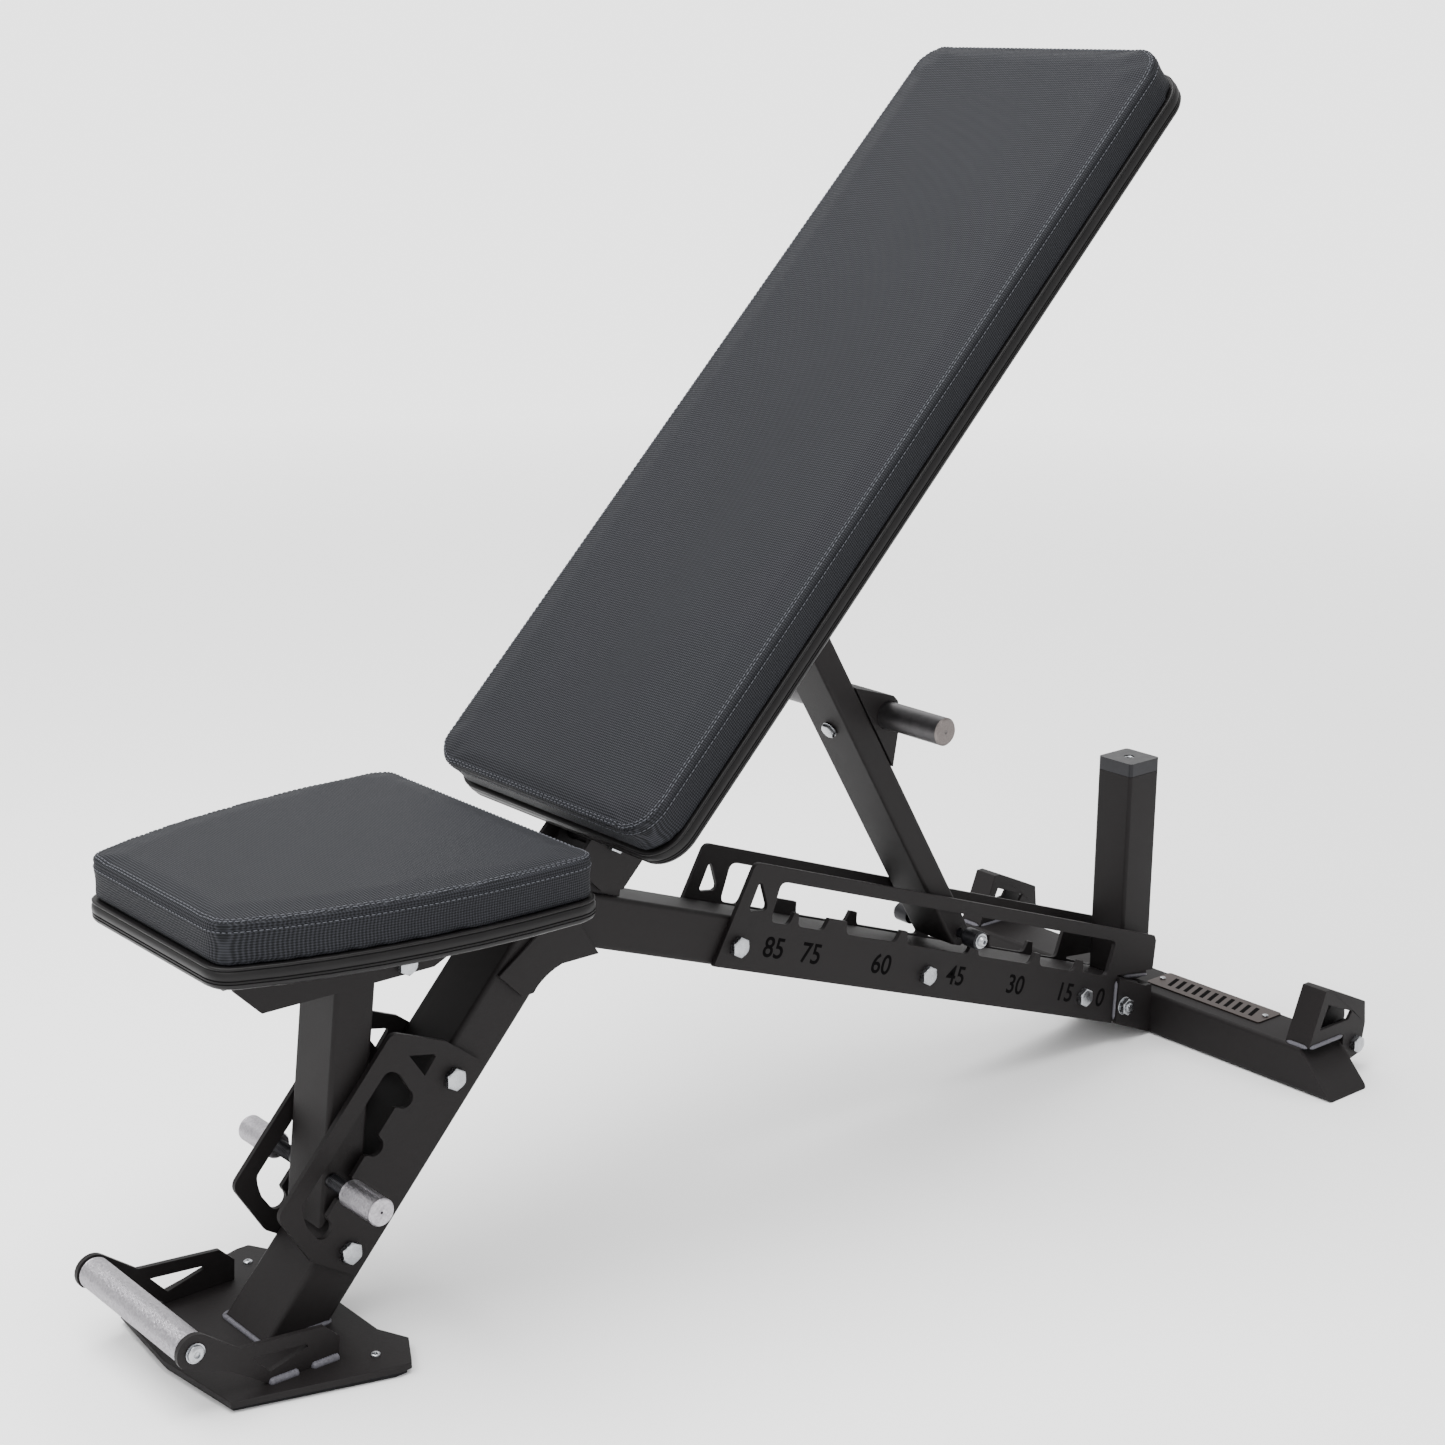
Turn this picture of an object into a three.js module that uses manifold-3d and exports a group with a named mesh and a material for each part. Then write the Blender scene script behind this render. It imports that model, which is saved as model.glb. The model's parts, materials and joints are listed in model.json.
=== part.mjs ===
// Adjustable weight bench: a padded seat and back on a welded steel frame, with two notched ladders.
// Millimetres, +Z up, +X towards the rear wheels, the bench's middle plane at Y = 0, the floor at Z = 0.
// Side views are drawn in groups whose local X runs along a tube and whose local Z points away from it.
import * as THREE from "three";
import { mergeVertices } from "three/addons/utils/BufferGeometryUtils.js";
import Module from "manifold-3d";

const wasm = await Module();
wasm.setup();

// Driving dimensions
const GAP = 0.3; // between pieces that touch
const RUN = 0.4; // radial clearance of a pin in its hole
const SIDE_GAP = 0.7; // between a moving piece and the cheek beside it

const TUBE = { width: 70, depth: 50, wall: 3, round: 5 }; // the leg and the spine
const LEG_ANGLE = 48.5;
const SPINE_ANGLE = 19.8;
const LEG_FOOT = new THREE.Vector2(92, 11); // front face of the leg at its weld
const SPINE_START = new THREE.Vector2(588, 237); // underside of the spine at the ladder's front
const PLATE = 5; // ladder plates
const BOLT = { radius: 5, flats: 17, head: 6.5, nut: 8 };

const BACK_LENGTH = 911;
const BACK_WIDTH = 322;
const BACK_CORNER = 34;
const PAD_THICK = 42;
const BOARD_THICK = 18;
const BACK_ANGLE = 45.7;
const BACK_FOOT = new THREE.Vector2(400, 436); // bottom edge of the pad's face
const BACK_PIVOT = new THREE.Vector2(476, 385);
const STRUT_TOP = new THREE.Vector2(708, 565);
const STRUT = { width: 59, depth: 28, wall: 2.5, round: 4 };
const CHEEK = 4.5;

const SEAT_TOP = 433;
const SEAT_UNDER = SEAT_TOP - PAD_THICK - BOARD_THICK; // the brackets and pivots hang from here
const SEAT_PIVOT = new THREE.Vector2(366, SEAT_UNDER - 15);
const POST_TOP = new THREE.Vector2(203, SEAT_UNDER - 28);
const POST = { width: STRUT.width, depth: 40, wall: 2.5, round: 4 };
const POST_LEAN = 6.4;

const LADDER_TOP = 106; // over the underside of the spine
const TOOTH_TOP = 64;
const POCKET_FLOOR = 51;
const WINDOW_TOP = 92;
const STRUT_PIN = { along: 343, up: 70, radius: 5, boss: 10, reach: 60 };
const SEAT_TOOTH = 20.5; // over the front face of the leg
const SEAT_PIN = { along: 147, up: 29, radius: 6, grip: 12.5, start: 60, end: 109 };

const CROSS = { front: 1233, rear: 1299, height: 49, top: 249, bottom: 295, wall: 3, round: 5 };
const UPRIGHT = { size: 48, centre: 1227, top: 304, cap: 15 };
const WHEEL = { x: 1322, z: 34, radius: 22, width: 20, across: 244 };
const BRACKET_WIDTH = 31;
const BASE = { plate: 6, rubber: 4 };
const FOOT_GRIP = { x: -2, z: 63, radius: 14.5, half: 85.5, cheek: 5 };
const HANDLE = { along: 163, out: 35, radius: 14, reach: 110 };

// Finishes
const finish = (color, roughness, metalness) => new THREE.MeshStandardMaterial({ color, roughness, metalness });
const powderCoat = finish(0x1d1b1c, 0.45, 0.2);
const zinc = finish(0xb9bcc0, 0.35, 0.9);
const blackSteel = finish(0x0f0f11, 0.4, 0.4);
const knurled = finish(0xb6b4b8, 0.4, 0.9);
const fabric = finish(0x35373c, 0.85, 0);
const trim = finish(0x232327, 0.6, 0);
const rubber = finish(0x151517, 0.8, 0);
const bareSteel = finish(0x5b4f4b, 0.4, 0.7);

// Solids
function solid(geometry) {
  const bare = geometry.index ? geometry.toNonIndexed() : geometry.clone();
  bare.deleteAttribute("normal");
  bare.deleteAttribute("uv");
  const merged = mergeVertices(bare, 1e-4);
  const triVerts = new Uint32Array(merged.index.array);
  const body = (corners) =>
    new wasm.Manifold(
      new wasm.Mesh({ numProp: 3, vertProperties: merged.attributes.position.array, triVerts: corners }),
    );
  const made = body(triVerts);
  return made.volume() > 0 ? made : body(triVerts.reverse());
}

const cut = (body, ...tools) => tools.reduce((rest, tool) => rest.subtract(solid(tool)), body);
const join = (first, ...others) => others.reduce((whole, other) => whole.add(solid(other)), solid(first));

const asShape = (outline) =>
  Array.isArray(outline) ? new THREE.Shape(outline.map(([a, b]) => new THREE.Vector2(a, b))) : outline;

// A hole's corners run anticlockwise.
function opening(corners) {
  const points = corners.map(([a, b]) => new THREE.Vector2(a, b));
  return new THREE.Path(THREE.ShapeUtils.isClockWise(points) ? points.reverse() : points);
}

// A flat piece drawn in the local X-Z plane, from y0 to y1.
function plate(outline, y0, y1, curveSegments = 6) {
  const sheet = new THREE.ExtrudeGeometry(asShape(outline), { depth: y1 - y0, bevelEnabled: false, curveSegments });
  return sheet.rotateX(Math.PI / 2).translate(0, y1, 0);
}

// A flat piece drawn in the local X-Y plane, from z0 to z1.
function slab(outline, z0, z1, curveSegments = 6) {
  const sheet = new THREE.ExtrudeGeometry(asShape(outline), { depth: z1 - z0, bevelEnabled: false, curveSegments });
  return sheet.translate(0, 0, z0);
}

const rod = (x, z, y0, y1, radius, sides = 16) =>
  new THREE.CylinderGeometry(radius, radius, y1 - y0, sides).translate(x, (y0 + y1) / 2, z);

function roundedBox(width, height, radius, target = new THREE.Shape()) {
  const [x, y] = [width / 2, height / 2];
  target.moveTo(-x + radius, -y);
  target.lineTo(x - radius, -y);
  target.absarc(x - radius, -y + radius, radius, -Math.PI / 2, 0);
  target.lineTo(x, y - radius);
  target.absarc(x - radius, y - radius, radius, 0, Math.PI / 2);
  target.lineTo(-x + radius, y);
  target.absarc(-x + radius, y - radius, radius, Math.PI / 2, Math.PI);
  target.lineTo(-x, -y + radius);
  target.absarc(-x + radius, -y + radius, radius, Math.PI, Math.PI * 1.5);
  return target;
}

// A rectangular hollow tube along local X, centred on Y = 0 and on Z = middle.
function tube(x0, x1, middle, { width, depth, wall, round }) {
  const section = roundedBox(depth, width, round);
  section.holes.push(roundedBox(depth - 2 * wall, width - 2 * wall, Math.max(round - wall, 1), new THREE.Path()));
  const bar = new THREE.ExtrudeGeometry(section, { depth: x1 - x0, bevelEnabled: false, curveSegments: 2 });
  return bar.rotateY(Math.PI / 2).translate(x0, 0, middle);
}

// A big block that fills the side of a plane its normal points to.
function halfSpace(point, normal, size = 1600) {
  const block = new THREE.BoxGeometry(size, size, size).translate(size / 2, 0, 0);
  const turn = new THREE.Quaternion().setFromUnitVectors(new THREE.Vector3(1, 0, 0), normal.clone().normalize());
  return block.applyQuaternion(turn).translate(point.x, point.y, point.z);
}

const inGroup = (group, worldGeometry) => worldGeometry.applyMatrix4(group.matrixWorld.clone().invert());
const localTo = (group, { x, y }) => new THREE.Vector3(x, 0, y).applyMatrix4(group.matrixWorld.clone().invert());

// The place in the bench's side view of a point given along and out of a group's piece.
function localPoint(group, x, z) {
  const at = new THREE.Vector3(x, 0, z).applyMatrix4(group.matrixWorld);
  return new THREE.Vector2(at.x, at.z);
}

// Groups
const bench = new THREE.Group();

function sideGroup({ x, y }, degrees) {
  const group = new THREE.Group();
  group.position.set(x, 0, y);
  group.rotation.y = THREE.MathUtils.degToRad(-degrees);
  bench.add(group);
  bench.updateMatrixWorld(true);
  return group;
}

function part(name, material, body, group = bench) {
  const made = body.getMesh ? body.getMesh() : solid(body).getMesh();
  const geometry = new THREE.BufferGeometry();
  geometry.setAttribute("position", new THREE.BufferAttribute(made.vertProperties, 3));
  geometry.setIndex(new THREE.BufferAttribute(made.triVerts, 1));
  geometry.computeVertexNormals();
  const mesh = new THREE.Mesh(geometry, material);
  mesh.name = name;
  group.add(mesh);
}

const SIDES = { near: -1, far: 1 };
const eachSide = (make) => Object.entries(SIDES).forEach(([side, sign]) => make(side, sign));
const span = (sign, from, to) => [sign * from, sign * to].sort((a, b) => a - b);

const legGroup = sideGroup(LEG_FOOT, LEG_ANGLE);
const spineGroup = sideGroup(SPINE_START, -SPINE_ANGLE);
const backGroup = sideGroup(BACK_FOOT, BACK_ANGLE);

// Fasteners: a hexagon head on the near side, a shank, and a nut on the far side.
function boltBody(x, z, half, radius = BOLT.radius, across = BOLT.flats) {
  const corner = across / Math.sqrt(3);
  return join(
    rod(x, z, -half - 1, half + 1, radius, 12),
    rod(x, z, -half - BOLT.head, -half - GAP, corner, 6),
    rod(x, z, half + GAP, half + BOLT.nut, corner, 6),
    rod(x, z, half + 1, half + BOLT.nut + 3, radius - 0.5, 12),
  );
}

// Leg and spine, mitred where their faces meet
const halfWidth = TUBE.width / 2;
const outer = halfWidth + GAP; // inner face of the ladder plates
const ladderFace = outer + PLATE;
const slope = (degrees) => Math.tan(THREE.MathUtils.degToRad(degrees));

function meet(a, angleA, b, angleB) {
  const x = (b.y - a.y + a.x * slope(angleA) - b.x * slope(angleB)) / (slope(angleA) - slope(angleB));
  return new THREE.Vector2(x, a.y + (x - a.x) * slope(angleA));
}

const spineTop = localPoint(spineGroup, 0, TUBE.depth);
const legBack = localPoint(legGroup, 0, -TUBE.depth);
const mitreTop = meet(LEG_FOOT, LEG_ANGLE, spineTop, -SPINE_ANGLE);
const mitreBottom = meet(legBack, LEG_ANGLE, SPINE_START, -SPINE_ANGLE);
const mitreNormal = new THREE.Vector3(mitreTop.y - mitreBottom.y, 0, mitreBottom.x - mitreTop.x).normalize();
const mitrePoint = (offset) =>
  new THREE.Vector3(mitreTop.x, 0, mitreTop.y).addScaledVector(mitreNormal, offset);
const baseTop = BASE.rubber + BASE.plate + GAP;
const legMitre = localTo(legGroup, mitreTop);
const spineMitre = localTo(spineGroup, mitreTop);
const spineEnd = CROSS.front - 8;
const down = new THREE.Vector3(0, 0, -1);
const rearward = new THREE.Vector3(1, 0, 0);

const LEG_BOLTS = [[276, -18], [103, -21]];
const SPINE_BOLTS = [[24, 23], [298, 23], [559, 25]];
const SADDLE_BOLT = new THREE.Vector2(1186, 46);
const saddleBolt = localTo(spineGroup, SADDLE_BOLT);
const boltHole = ([x, z], half) => rod(x, z, -half, half, BOLT.radius + RUN, 12);

part(
  "leg_tube",
  powderCoat,
  cut(
    solid(tube(-40, legMitre.x + 60, -TUBE.depth / 2, TUBE)),
    inGroup(legGroup, halfSpace(mitrePoint(-GAP / 2), mitreNormal)),
    inGroup(legGroup, halfSpace(new THREE.Vector3(0, 0, baseTop + GAP), down)),
    ...LEG_BOLTS.map((at) => boltHole(at, 60)),
  ),
  legGroup,
);
part(
  "spine_tube",
  powderCoat,
  cut(
    solid(tube(spineMitre.x - 60, 720, TUBE.depth / 2, TUBE)),
    inGroup(spineGroup, halfSpace(mitrePoint(GAP / 2), mitreNormal.clone().negate())),
    inGroup(spineGroup, halfSpace(new THREE.Vector3(spineEnd - GAP, 0, 0), rearward)),
    ...[...SPINE_BOLTS, [saddleBolt.x, saddleBolt.z]].map((at) => boltHole(at, 60)),
  ),
  spineGroup,
);

// Corner plates welded on the inside of the bend
const cornerShape = new THREE.Shape();
cornerShape.moveTo(340, 288);
cornerShape.lineTo(366, 262);
cornerShape.lineTo(378, 263);
cornerShape.quadraticCurveTo(388, 277, 410, 283);
cornerShape.lineTo(452, 283);
cornerShape.lineTo(430, 318);
cornerShape.lineTo(385, 318);
eachSide((side, sign) =>
  part(`corner_plate_${side}`, powderCoat, plate(cornerShape, ...span(sign, outer, outer + 4))),
);

// Rear ladder: two plates whose window has seven pockets between narrow teeth
const POCKETS = [[58, 85], [95, 134], [164, 241], [255, 353], [367, 457], [470, 533], [545, 590]];
const TOOTH_RAMP = 2;

function rearWindow() {
  const hole = new THREE.Path();
  hole.moveTo(POCKETS[0][0], WINDOW_TOP - 8);
  POCKETS.forEach(([from, to], i) => {
    if (i > 0) hole.lineTo(from - TOOTH_RAMP, TOOTH_TOP);
    hole.lineTo(from, POCKET_FLOOR + 6);
    hole.quadraticCurveTo(from + 1, POCKET_FLOOR, from + 7, POCKET_FLOOR);
    hole.lineTo(to - 7, POCKET_FLOOR);
    hole.quadraticCurveTo(to - 1, POCKET_FLOOR, to, POCKET_FLOOR + 6);
    if (i < POCKETS.length - 1) hole.lineTo(to + TOOTH_RAMP, TOOTH_TOP);
  });
  const [, end] = POCKETS[POCKETS.length - 1];
  hole.lineTo(end, WINDOW_TOP - 6);
  hole.quadraticCurveTo(end, WINDOW_TOP, end - 8, WINDOW_TOP);
  hole.lineTo(POCKETS[0][0] + 10, WINDOW_TOP);
  hole.quadraticCurveTo(POCKETS[0][0], WINDOW_TOP, POCKETS[0][0], WINDOW_TOP - 8);
  return hole;
}

function rearLadderShape() {
  const shape = new THREE.Shape();
  shape.moveTo(0, 0);
  shape.lineTo(17, LADDER_TOP - 6);
  shape.quadraticCurveTo(19, LADDER_TOP, 26, LADDER_TOP);
  shape.lineTo(655, LADDER_TOP);
  shape.lineTo(660, LADDER_TOP - 5);
  shape.lineTo(668, 68);
  shape.lineTo(608, 54);
  shape.lineTo(622, 0);
  shape.closePath();
  const frontSlot = [[26, 61], [29, 84], [31, 87], [34, 86], [47, 68], [48, 64], [45, 61], [29, 58]];
  shape.holes.push(rearWindow(), opening(frontSlot));
  return shape;
}

eachSide((side, sign) =>
  part(
    `rear_ladder_${side}`,
    powderCoat,
    cut(
      solid(plate(rearLadderShape(), ...span(sign, outer, ladderFace), 4)),
      ...SPINE_BOLTS.map((at) => boltHole(at, 60)),
    ),
    spineGroup,
  ),
);
["front", "middle", "rear"].forEach((place, i) =>
  part(`rear_ladder_bolt_${place}`, zinc, boltBody(...SPINE_BOLTS[i], ladderFace), spineGroup),
);

// Front ladder: two plates with four round notches for the seat post's pin
const SEAT_NOTCHES = [108, 147, 190, 238];
const NOTCH = { centre: 17, radius: 9 };

function frontWindow() {
  const hole = new THREE.Path();
  hole.moveTo(103, 33);
  SEAT_NOTCHES.forEach((u, i) => {
    if (i > 0) hole.lineTo(u - NOTCH.radius - 2, SEAT_TOOTH);
    hole.lineTo(u - NOTCH.radius, NOTCH.centre);
    hole.absarc(u, NOTCH.centre, NOTCH.radius, Math.PI, Math.PI * 2);
    if (i < SEAT_NOTCHES.length - 1) hole.lineTo(u + NOTCH.radius + 2, SEAT_TOOTH);
  });
  hole.lineTo(253, 34);
  hole.quadraticCurveTo(254, 50, 243, 50);
  hole.lineTo(118, 50);
  hole.quadraticCurveTo(112, 49, 103, 33);
  return hole;
}

function frontLadderShape() {
  const shape = new THREE.Shape();
  shape.moveTo(88, -42);
  shape.lineTo(80, 9);
  shape.lineTo(95, 59);
  shape.quadraticCurveTo(98, 66, 106, 66);
  shape.lineTo(272, 67);
  shape.quadraticCurveTo(279, 67, 282, 60);
  shape.lineTo(299, 11);
  shape.lineTo(302, -34);
  shape.lineTo(293, -41);
  shape.closePath();
  shape.holes.push(frontWindow(), opening([[271, 38], [284, 15], [283, 12], [264, 11]]));
  return shape;
}

eachSide((side, sign) =>
  part(
    `front_ladder_${side}`,
    powderCoat,
    cut(
      solid(plate(frontLadderShape(), ...span(sign, outer, ladderFace), 5)),
      ...LEG_BOLTS.map((at) => boltHole(at, 60)),
    ),
    legGroup,
  ),
);
["upper", "lower"].forEach((place, i) =>
  part(`front_ladder_bolt_${place}`, zinc, boltBody(...LEG_BOLTS[i], ladderFace), legGroup),
);

// Foot: a steel plate on a rubber pad, and a grip between two cheeks for lifting the bench
const BASE_OUTLINE = [[15, 0], [25, 97], [163, 137], [175, 137], [196, 100], [183, 70]];
const bothHalves = (half, inset = 0) => {
  const right = half.map(([x, y]) => [x + (x < 100 ? inset : -inset), Math.max(y - inset, 0)]);
  return [...right, ...right.filter(([, y]) => y > 0).reverse().map(([x, y]) => [x, -y])];
};
const basePlateBottom = BASE.rubber + GAP;
part("base_rubber", rubber, slab(bothHalves(BASE_OUTLINE, 3), 0, BASE.rubber));
part("base_plate", powderCoat, slab(bothHalves(BASE_OUTLINE), basePlateBottom, baseTop));

function handleCheekShape() {
  const { x, z, radius } = FOOT_GRIP;
  const eye = radius + 1.5;
  const shape = new THREE.Shape();
  shape.moveTo(64, baseTop + GAP);
  shape.lineTo(132, baseTop + GAP);
  shape.lineTo(133, 30);
  shape.lineTo(119, 44);
  shape.lineTo(39, 52);
  shape.lineTo(x + eye * 0.64, z + eye * 0.77);
  shape.absarc(x, z, eye, 0.88, -2.4 + Math.PI * 2);
  shape.lineTo(30, 34);
  shape.closePath();
  shape.holes.push(opening([[50, 39], [101, 34], [103, 31], [66, 21]]));
  return shape;
}

const cheekFace = FOOT_GRIP.half + GAP;
const cheekOut = cheekFace + FOOT_GRIP.cheek;
eachSide((side, sign) => {
  part(
    `handle_cheek_${side}`,
    powderCoat,
    cut(
      solid(plate(handleCheekShape(), ...span(sign, cheekFace, cheekOut))),
      rod(FOOT_GRIP.x, FOOT_GRIP.z, -120, 120, BOLT.radius + RUN, 12),
    ),
  );
  const screw = join(
    rod(FOOT_GRIP.x, FOOT_GRIP.z, ...span(sign, 66, cheekOut + 1), BOLT.radius, 16),
    rod(FOOT_GRIP.x, FOOT_GRIP.z, ...span(sign, cheekOut + GAP, cheekOut + 3), 8.5, 20),
    rod(FOOT_GRIP.x, FOOT_GRIP.z, ...span(sign, cheekOut + 1, cheekOut + 5), 6.6, 20),
  );
  part(`handle_screw_${side}`, zinc, screw);
});
part(
  "foot_grip",
  knurled,
  cut(
    solid(rod(FOOT_GRIP.x, FOOT_GRIP.z, -FOOT_GRIP.half, FOOT_GRIP.half, FOOT_GRIP.radius, 32)),
    rod(FOOT_GRIP.x, FOOT_GRIP.z, -120, 120, BOLT.radius + RUN, 12),
  ),
);

// Rear foot: a cross tube with slanted, capped ends, and the saddle that holds the spine's end
const crossMiddle = (CROSS.front + CROSS.rear) / 2;
const slant = new THREE.Vector3(0, CROSS.height, CROSS.bottom - CROSS.top).normalize();
const slantNormal = (sign) => new THREE.Vector3(0, sign * slant.y, slant.z);
const slantPoint = (sign, inward) =>
  new THREE.Vector3(crossMiddle, sign * CROSS.bottom, 0).addScaledVector(slantNormal(sign), -inward);
const alongY = (geometry) => geometry.rotateZ(Math.PI / 2).translate(crossMiddle, 0, 0);

// The cross tube's outside, or its inside when it is drawn smaller by a wall.
function crossBody(inset) {
  const section = roundedBox(CROSS.height - 2 * inset, CROSS.rear - CROSS.front - 2 * inset, CROSS.round - inset);
  const bar = new THREE.ExtrudeGeometry(section, { depth: 2 * CROSS.bottom, bevelEnabled: false, curveSegments: 3 });
  bar.rotateY(Math.PI / 2).translate(-CROSS.bottom, 0, CROSS.height / 2);
  return cut(
    solid(alongY(bar)),
    halfSpace(slantPoint(1, inset), slantNormal(1)),
    halfSpace(slantPoint(-1, inset), slantNormal(-1)),
  );
}

const DRAIN = 4;
part(
  "rear_cross_tube",
  powderCoat,
  cut(
    crossBody(0).subtract(crossBody(CROSS.wall)),
    new THREE.CylinderGeometry(DRAIN, DRAIN, 10, 16).rotateX(Math.PI / 2).translate(crossMiddle, 0, 0),
  ),
);

const saddleIn = ladderFace + GAP;
const saddleOut = saddleIn + 5;
const saddleCheek = [[1177, 80], [1222, 61], [CROSS.front - GAP, 60], [CROSS.front - GAP, 2], [1174, 27]];
const saddleEnd = [[spineEnd + GAP, 60], [CROSS.front - GAP, 60], [CROSS.front - GAP, 2], [spineEnd + GAP, 5]];
part(
  "saddle_bracket",
  powderCoat,
  cut(
    join(
      plate(saddleCheek, -saddleOut, -saddleIn),
      plate(saddleCheek, saddleIn, saddleOut),
      plate(saddleEnd, -saddleOut, saddleOut),
    ),
    rod(SADDLE_BOLT.x, SADDLE_BOLT.y, -90, 90, BOLT.radius + RUN, 12),
  ),
);
// The saddle's bolt has its nut on the near side.
part("saddle_bolt", zinc, boltBody(SADDLE_BOLT.x, SADDLE_BOLT.y, saddleOut).mirror([0, 1, 0]));

const NAME_PLATE = { x: 1275, y: -100, width: 42, length: 160, thick: 1.2, rivet: 7 };
const plateBottom = CROSS.height + GAP;
const plateTop = plateBottom + NAME_PLATE.thick;
const rivetAt = (y) =>
  new THREE.CylinderGeometry(2, 3, 1.4, 12).rotateX(Math.PI / 2).translate(NAME_PLATE.x, y, plateTop + 0.5);
const nameSheet = slab(roundedBox(NAME_PLATE.width, NAME_PLATE.length, 4), plateBottom, plateTop);
part(
  "name_plate",
  bareSteel,
  join(
    nameSheet.translate(NAME_PLATE.x, NAME_PLATE.y, 0),
    rivetAt(NAME_PLATE.y - NAME_PLATE.length / 2 + NAME_PLATE.rivet),
    rivetAt(NAME_PLATE.y + NAME_PLATE.length / 2 - NAME_PLATE.rivet),
  ),
);

// Upright post with a tapped cap
const spineTopAt = (x) => spineTop.y - (x - spineTop.x) * slope(SPINE_ANGLE);
const uprightRear = UPRIGHT.centre + UPRIGHT.size / 2;
const uprightBottom = new THREE.Vector3(uprightRear, 0, spineTopAt(uprightRear));
const spineDown = new THREE.Vector3(0, 0, -1).applyQuaternion(spineGroup.quaternion);
const uprightSection = { width: UPRIGHT.size, depth: UPRIGHT.size, wall: 3, round: 4 };
const uprightTube = tube(0, UPRIGHT.top, 0, uprightSection).rotateY(-Math.PI / 2).translate(UPRIGHT.centre, 0, 0);
const saddleTop = 60 + GAP;
part(
  "upright_tube",
  powderCoat,
  cut(
    solid(uprightTube),
    halfSpace(uprightBottom.clone().addScaledVector(spineDown, -GAP), spineDown),
    halfSpace(new THREE.Vector3(UPRIGHT.centre, 0, saddleTop), down),
  ),
);
const capTop = UPRIGHT.top + UPRIGHT.cap;
const capBlock = slab(roundedBox(UPRIGHT.size, UPRIGHT.size, uprightSection.round), UPRIGHT.top + GAP, capTop);
const capHole = new THREE.CylinderGeometry(6, 6, 60, 20).rotateX(Math.PI / 2);
part(
  "upright_cap",
  blackSteel,
  cut(solid(capBlock.translate(UPRIGHT.centre, 0, 0)), capHole.translate(UPRIGHT.centre, 0, capTop)),
);

// Transport wheels in folded brackets at both ends of the cross tube
const bracketOut = [
  [1238, plateBottom], [1262, 109], [1271, 109], [1335, 80], [1338, 54], [1332, 21], [1308, 16],
  [CROSS.rear + GAP, 24], [CROSS.rear + GAP, plateBottom],
];
const bracketIn = [
  [1243, 20], [1243, 53], [1265, 104], [1270, 105], [1331, 78], [1350, 60], [1350, 0], [1243, 0],
];
const bracketHole = [[1256, 66], [1268, 92], [1312, 74], [1306, 66]];
eachSide((side, sign) => {
  const from = WHEEL.across - BRACKET_WIDTH / 2;
  const to = WHEEL.across + BRACKET_WIDTH / 2;
  part(
    `wheel_bracket_${side}`,
    powderCoat,
    cut(
      solid(plate(bracketOut, ...span(sign, from, to))),
      plate(bracketIn, ...span(sign, from + 4, to - 4)),
      plate(bracketHole, ...span(sign, from - 5, to + 5)),
      rod(WHEEL.x, WHEEL.z, ...span(sign, from - 5, to + 5), BOLT.radius + RUN, 12),
    ),
  );
  const axle = boltBody(WHEEL.x, WHEEL.z, BRACKET_WIDTH / 2);
  part(`wheel_axle_${side}`, zinc, axle.translate([0, sign * WHEEL.across, 0]));
  const rim = WHEEL.width / 2;
  const bore = BOLT.radius + RUN;
  const hub = 9;
  const half = [[bore, rim + 1], [hub, rim + 1], [hub, rim - 2], [WHEEL.radius - 3, rim - 2], [WHEEL.radius, rim - 5]];
  const tread = [...half.map(([r, y]) => [r, -y]), ...half.reverse(), [bore, -rim - 1]];
  const wheel = new THREE.LatheGeometry(tread.map(([r, y]) => new THREE.Vector2(r, y)), 24);
  part(`wheel_${side}`, rubber, wheel.translate(WHEEL.x, sign * WHEEL.across, WHEEL.z));
});

// Backrest: local X runs up the pad and local Z points out of its face
const backOutline = () => roundedBox(BACK_LENGTH, BACK_WIDTH, BACK_CORNER);
const onBack = (geometry) => geometry.translate(BACK_LENGTH / 2, 0, 0);
const boardBack = -PAD_THICK - BOARD_THICK;
const PAD_SCREW = { radius: 4, across: 95, corner: 7.5, head: 5.5, deep: 12 }; // M8, into inserts in the board
const PAD_SCREW_ROWS = [150, 690];
const BACK_BOLTS = PAD_SCREW_ROWS.flatMap((x) => [[x, -PAD_SCREW.across], [x, PAD_SCREW.across]]);
const boltDown = (x, y, z0, z1, radius, sides) =>
  new THREE.CylinderGeometry(radius, radius, z1 - z0, sides).rotateX(Math.PI / 2).translate(x, y, (z0 + z1) / 2);
part("back_pad", fabric, onBack(slab(backOutline(), -PAD_THICK + GAP, 0)), backGroup);
part(
  "back_board",
  trim,
  cut(
    solid(onBack(slab(backOutline(), boardBack, -PAD_THICK))),
    ...BACK_BOLTS.map(([x, y]) => boltDown(x, y, boardBack - 5, boardBack + PAD_SCREW.deep + 2, PAD_SCREW.radius + RUN, 10)),
  ),
  backGroup,
);

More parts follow.
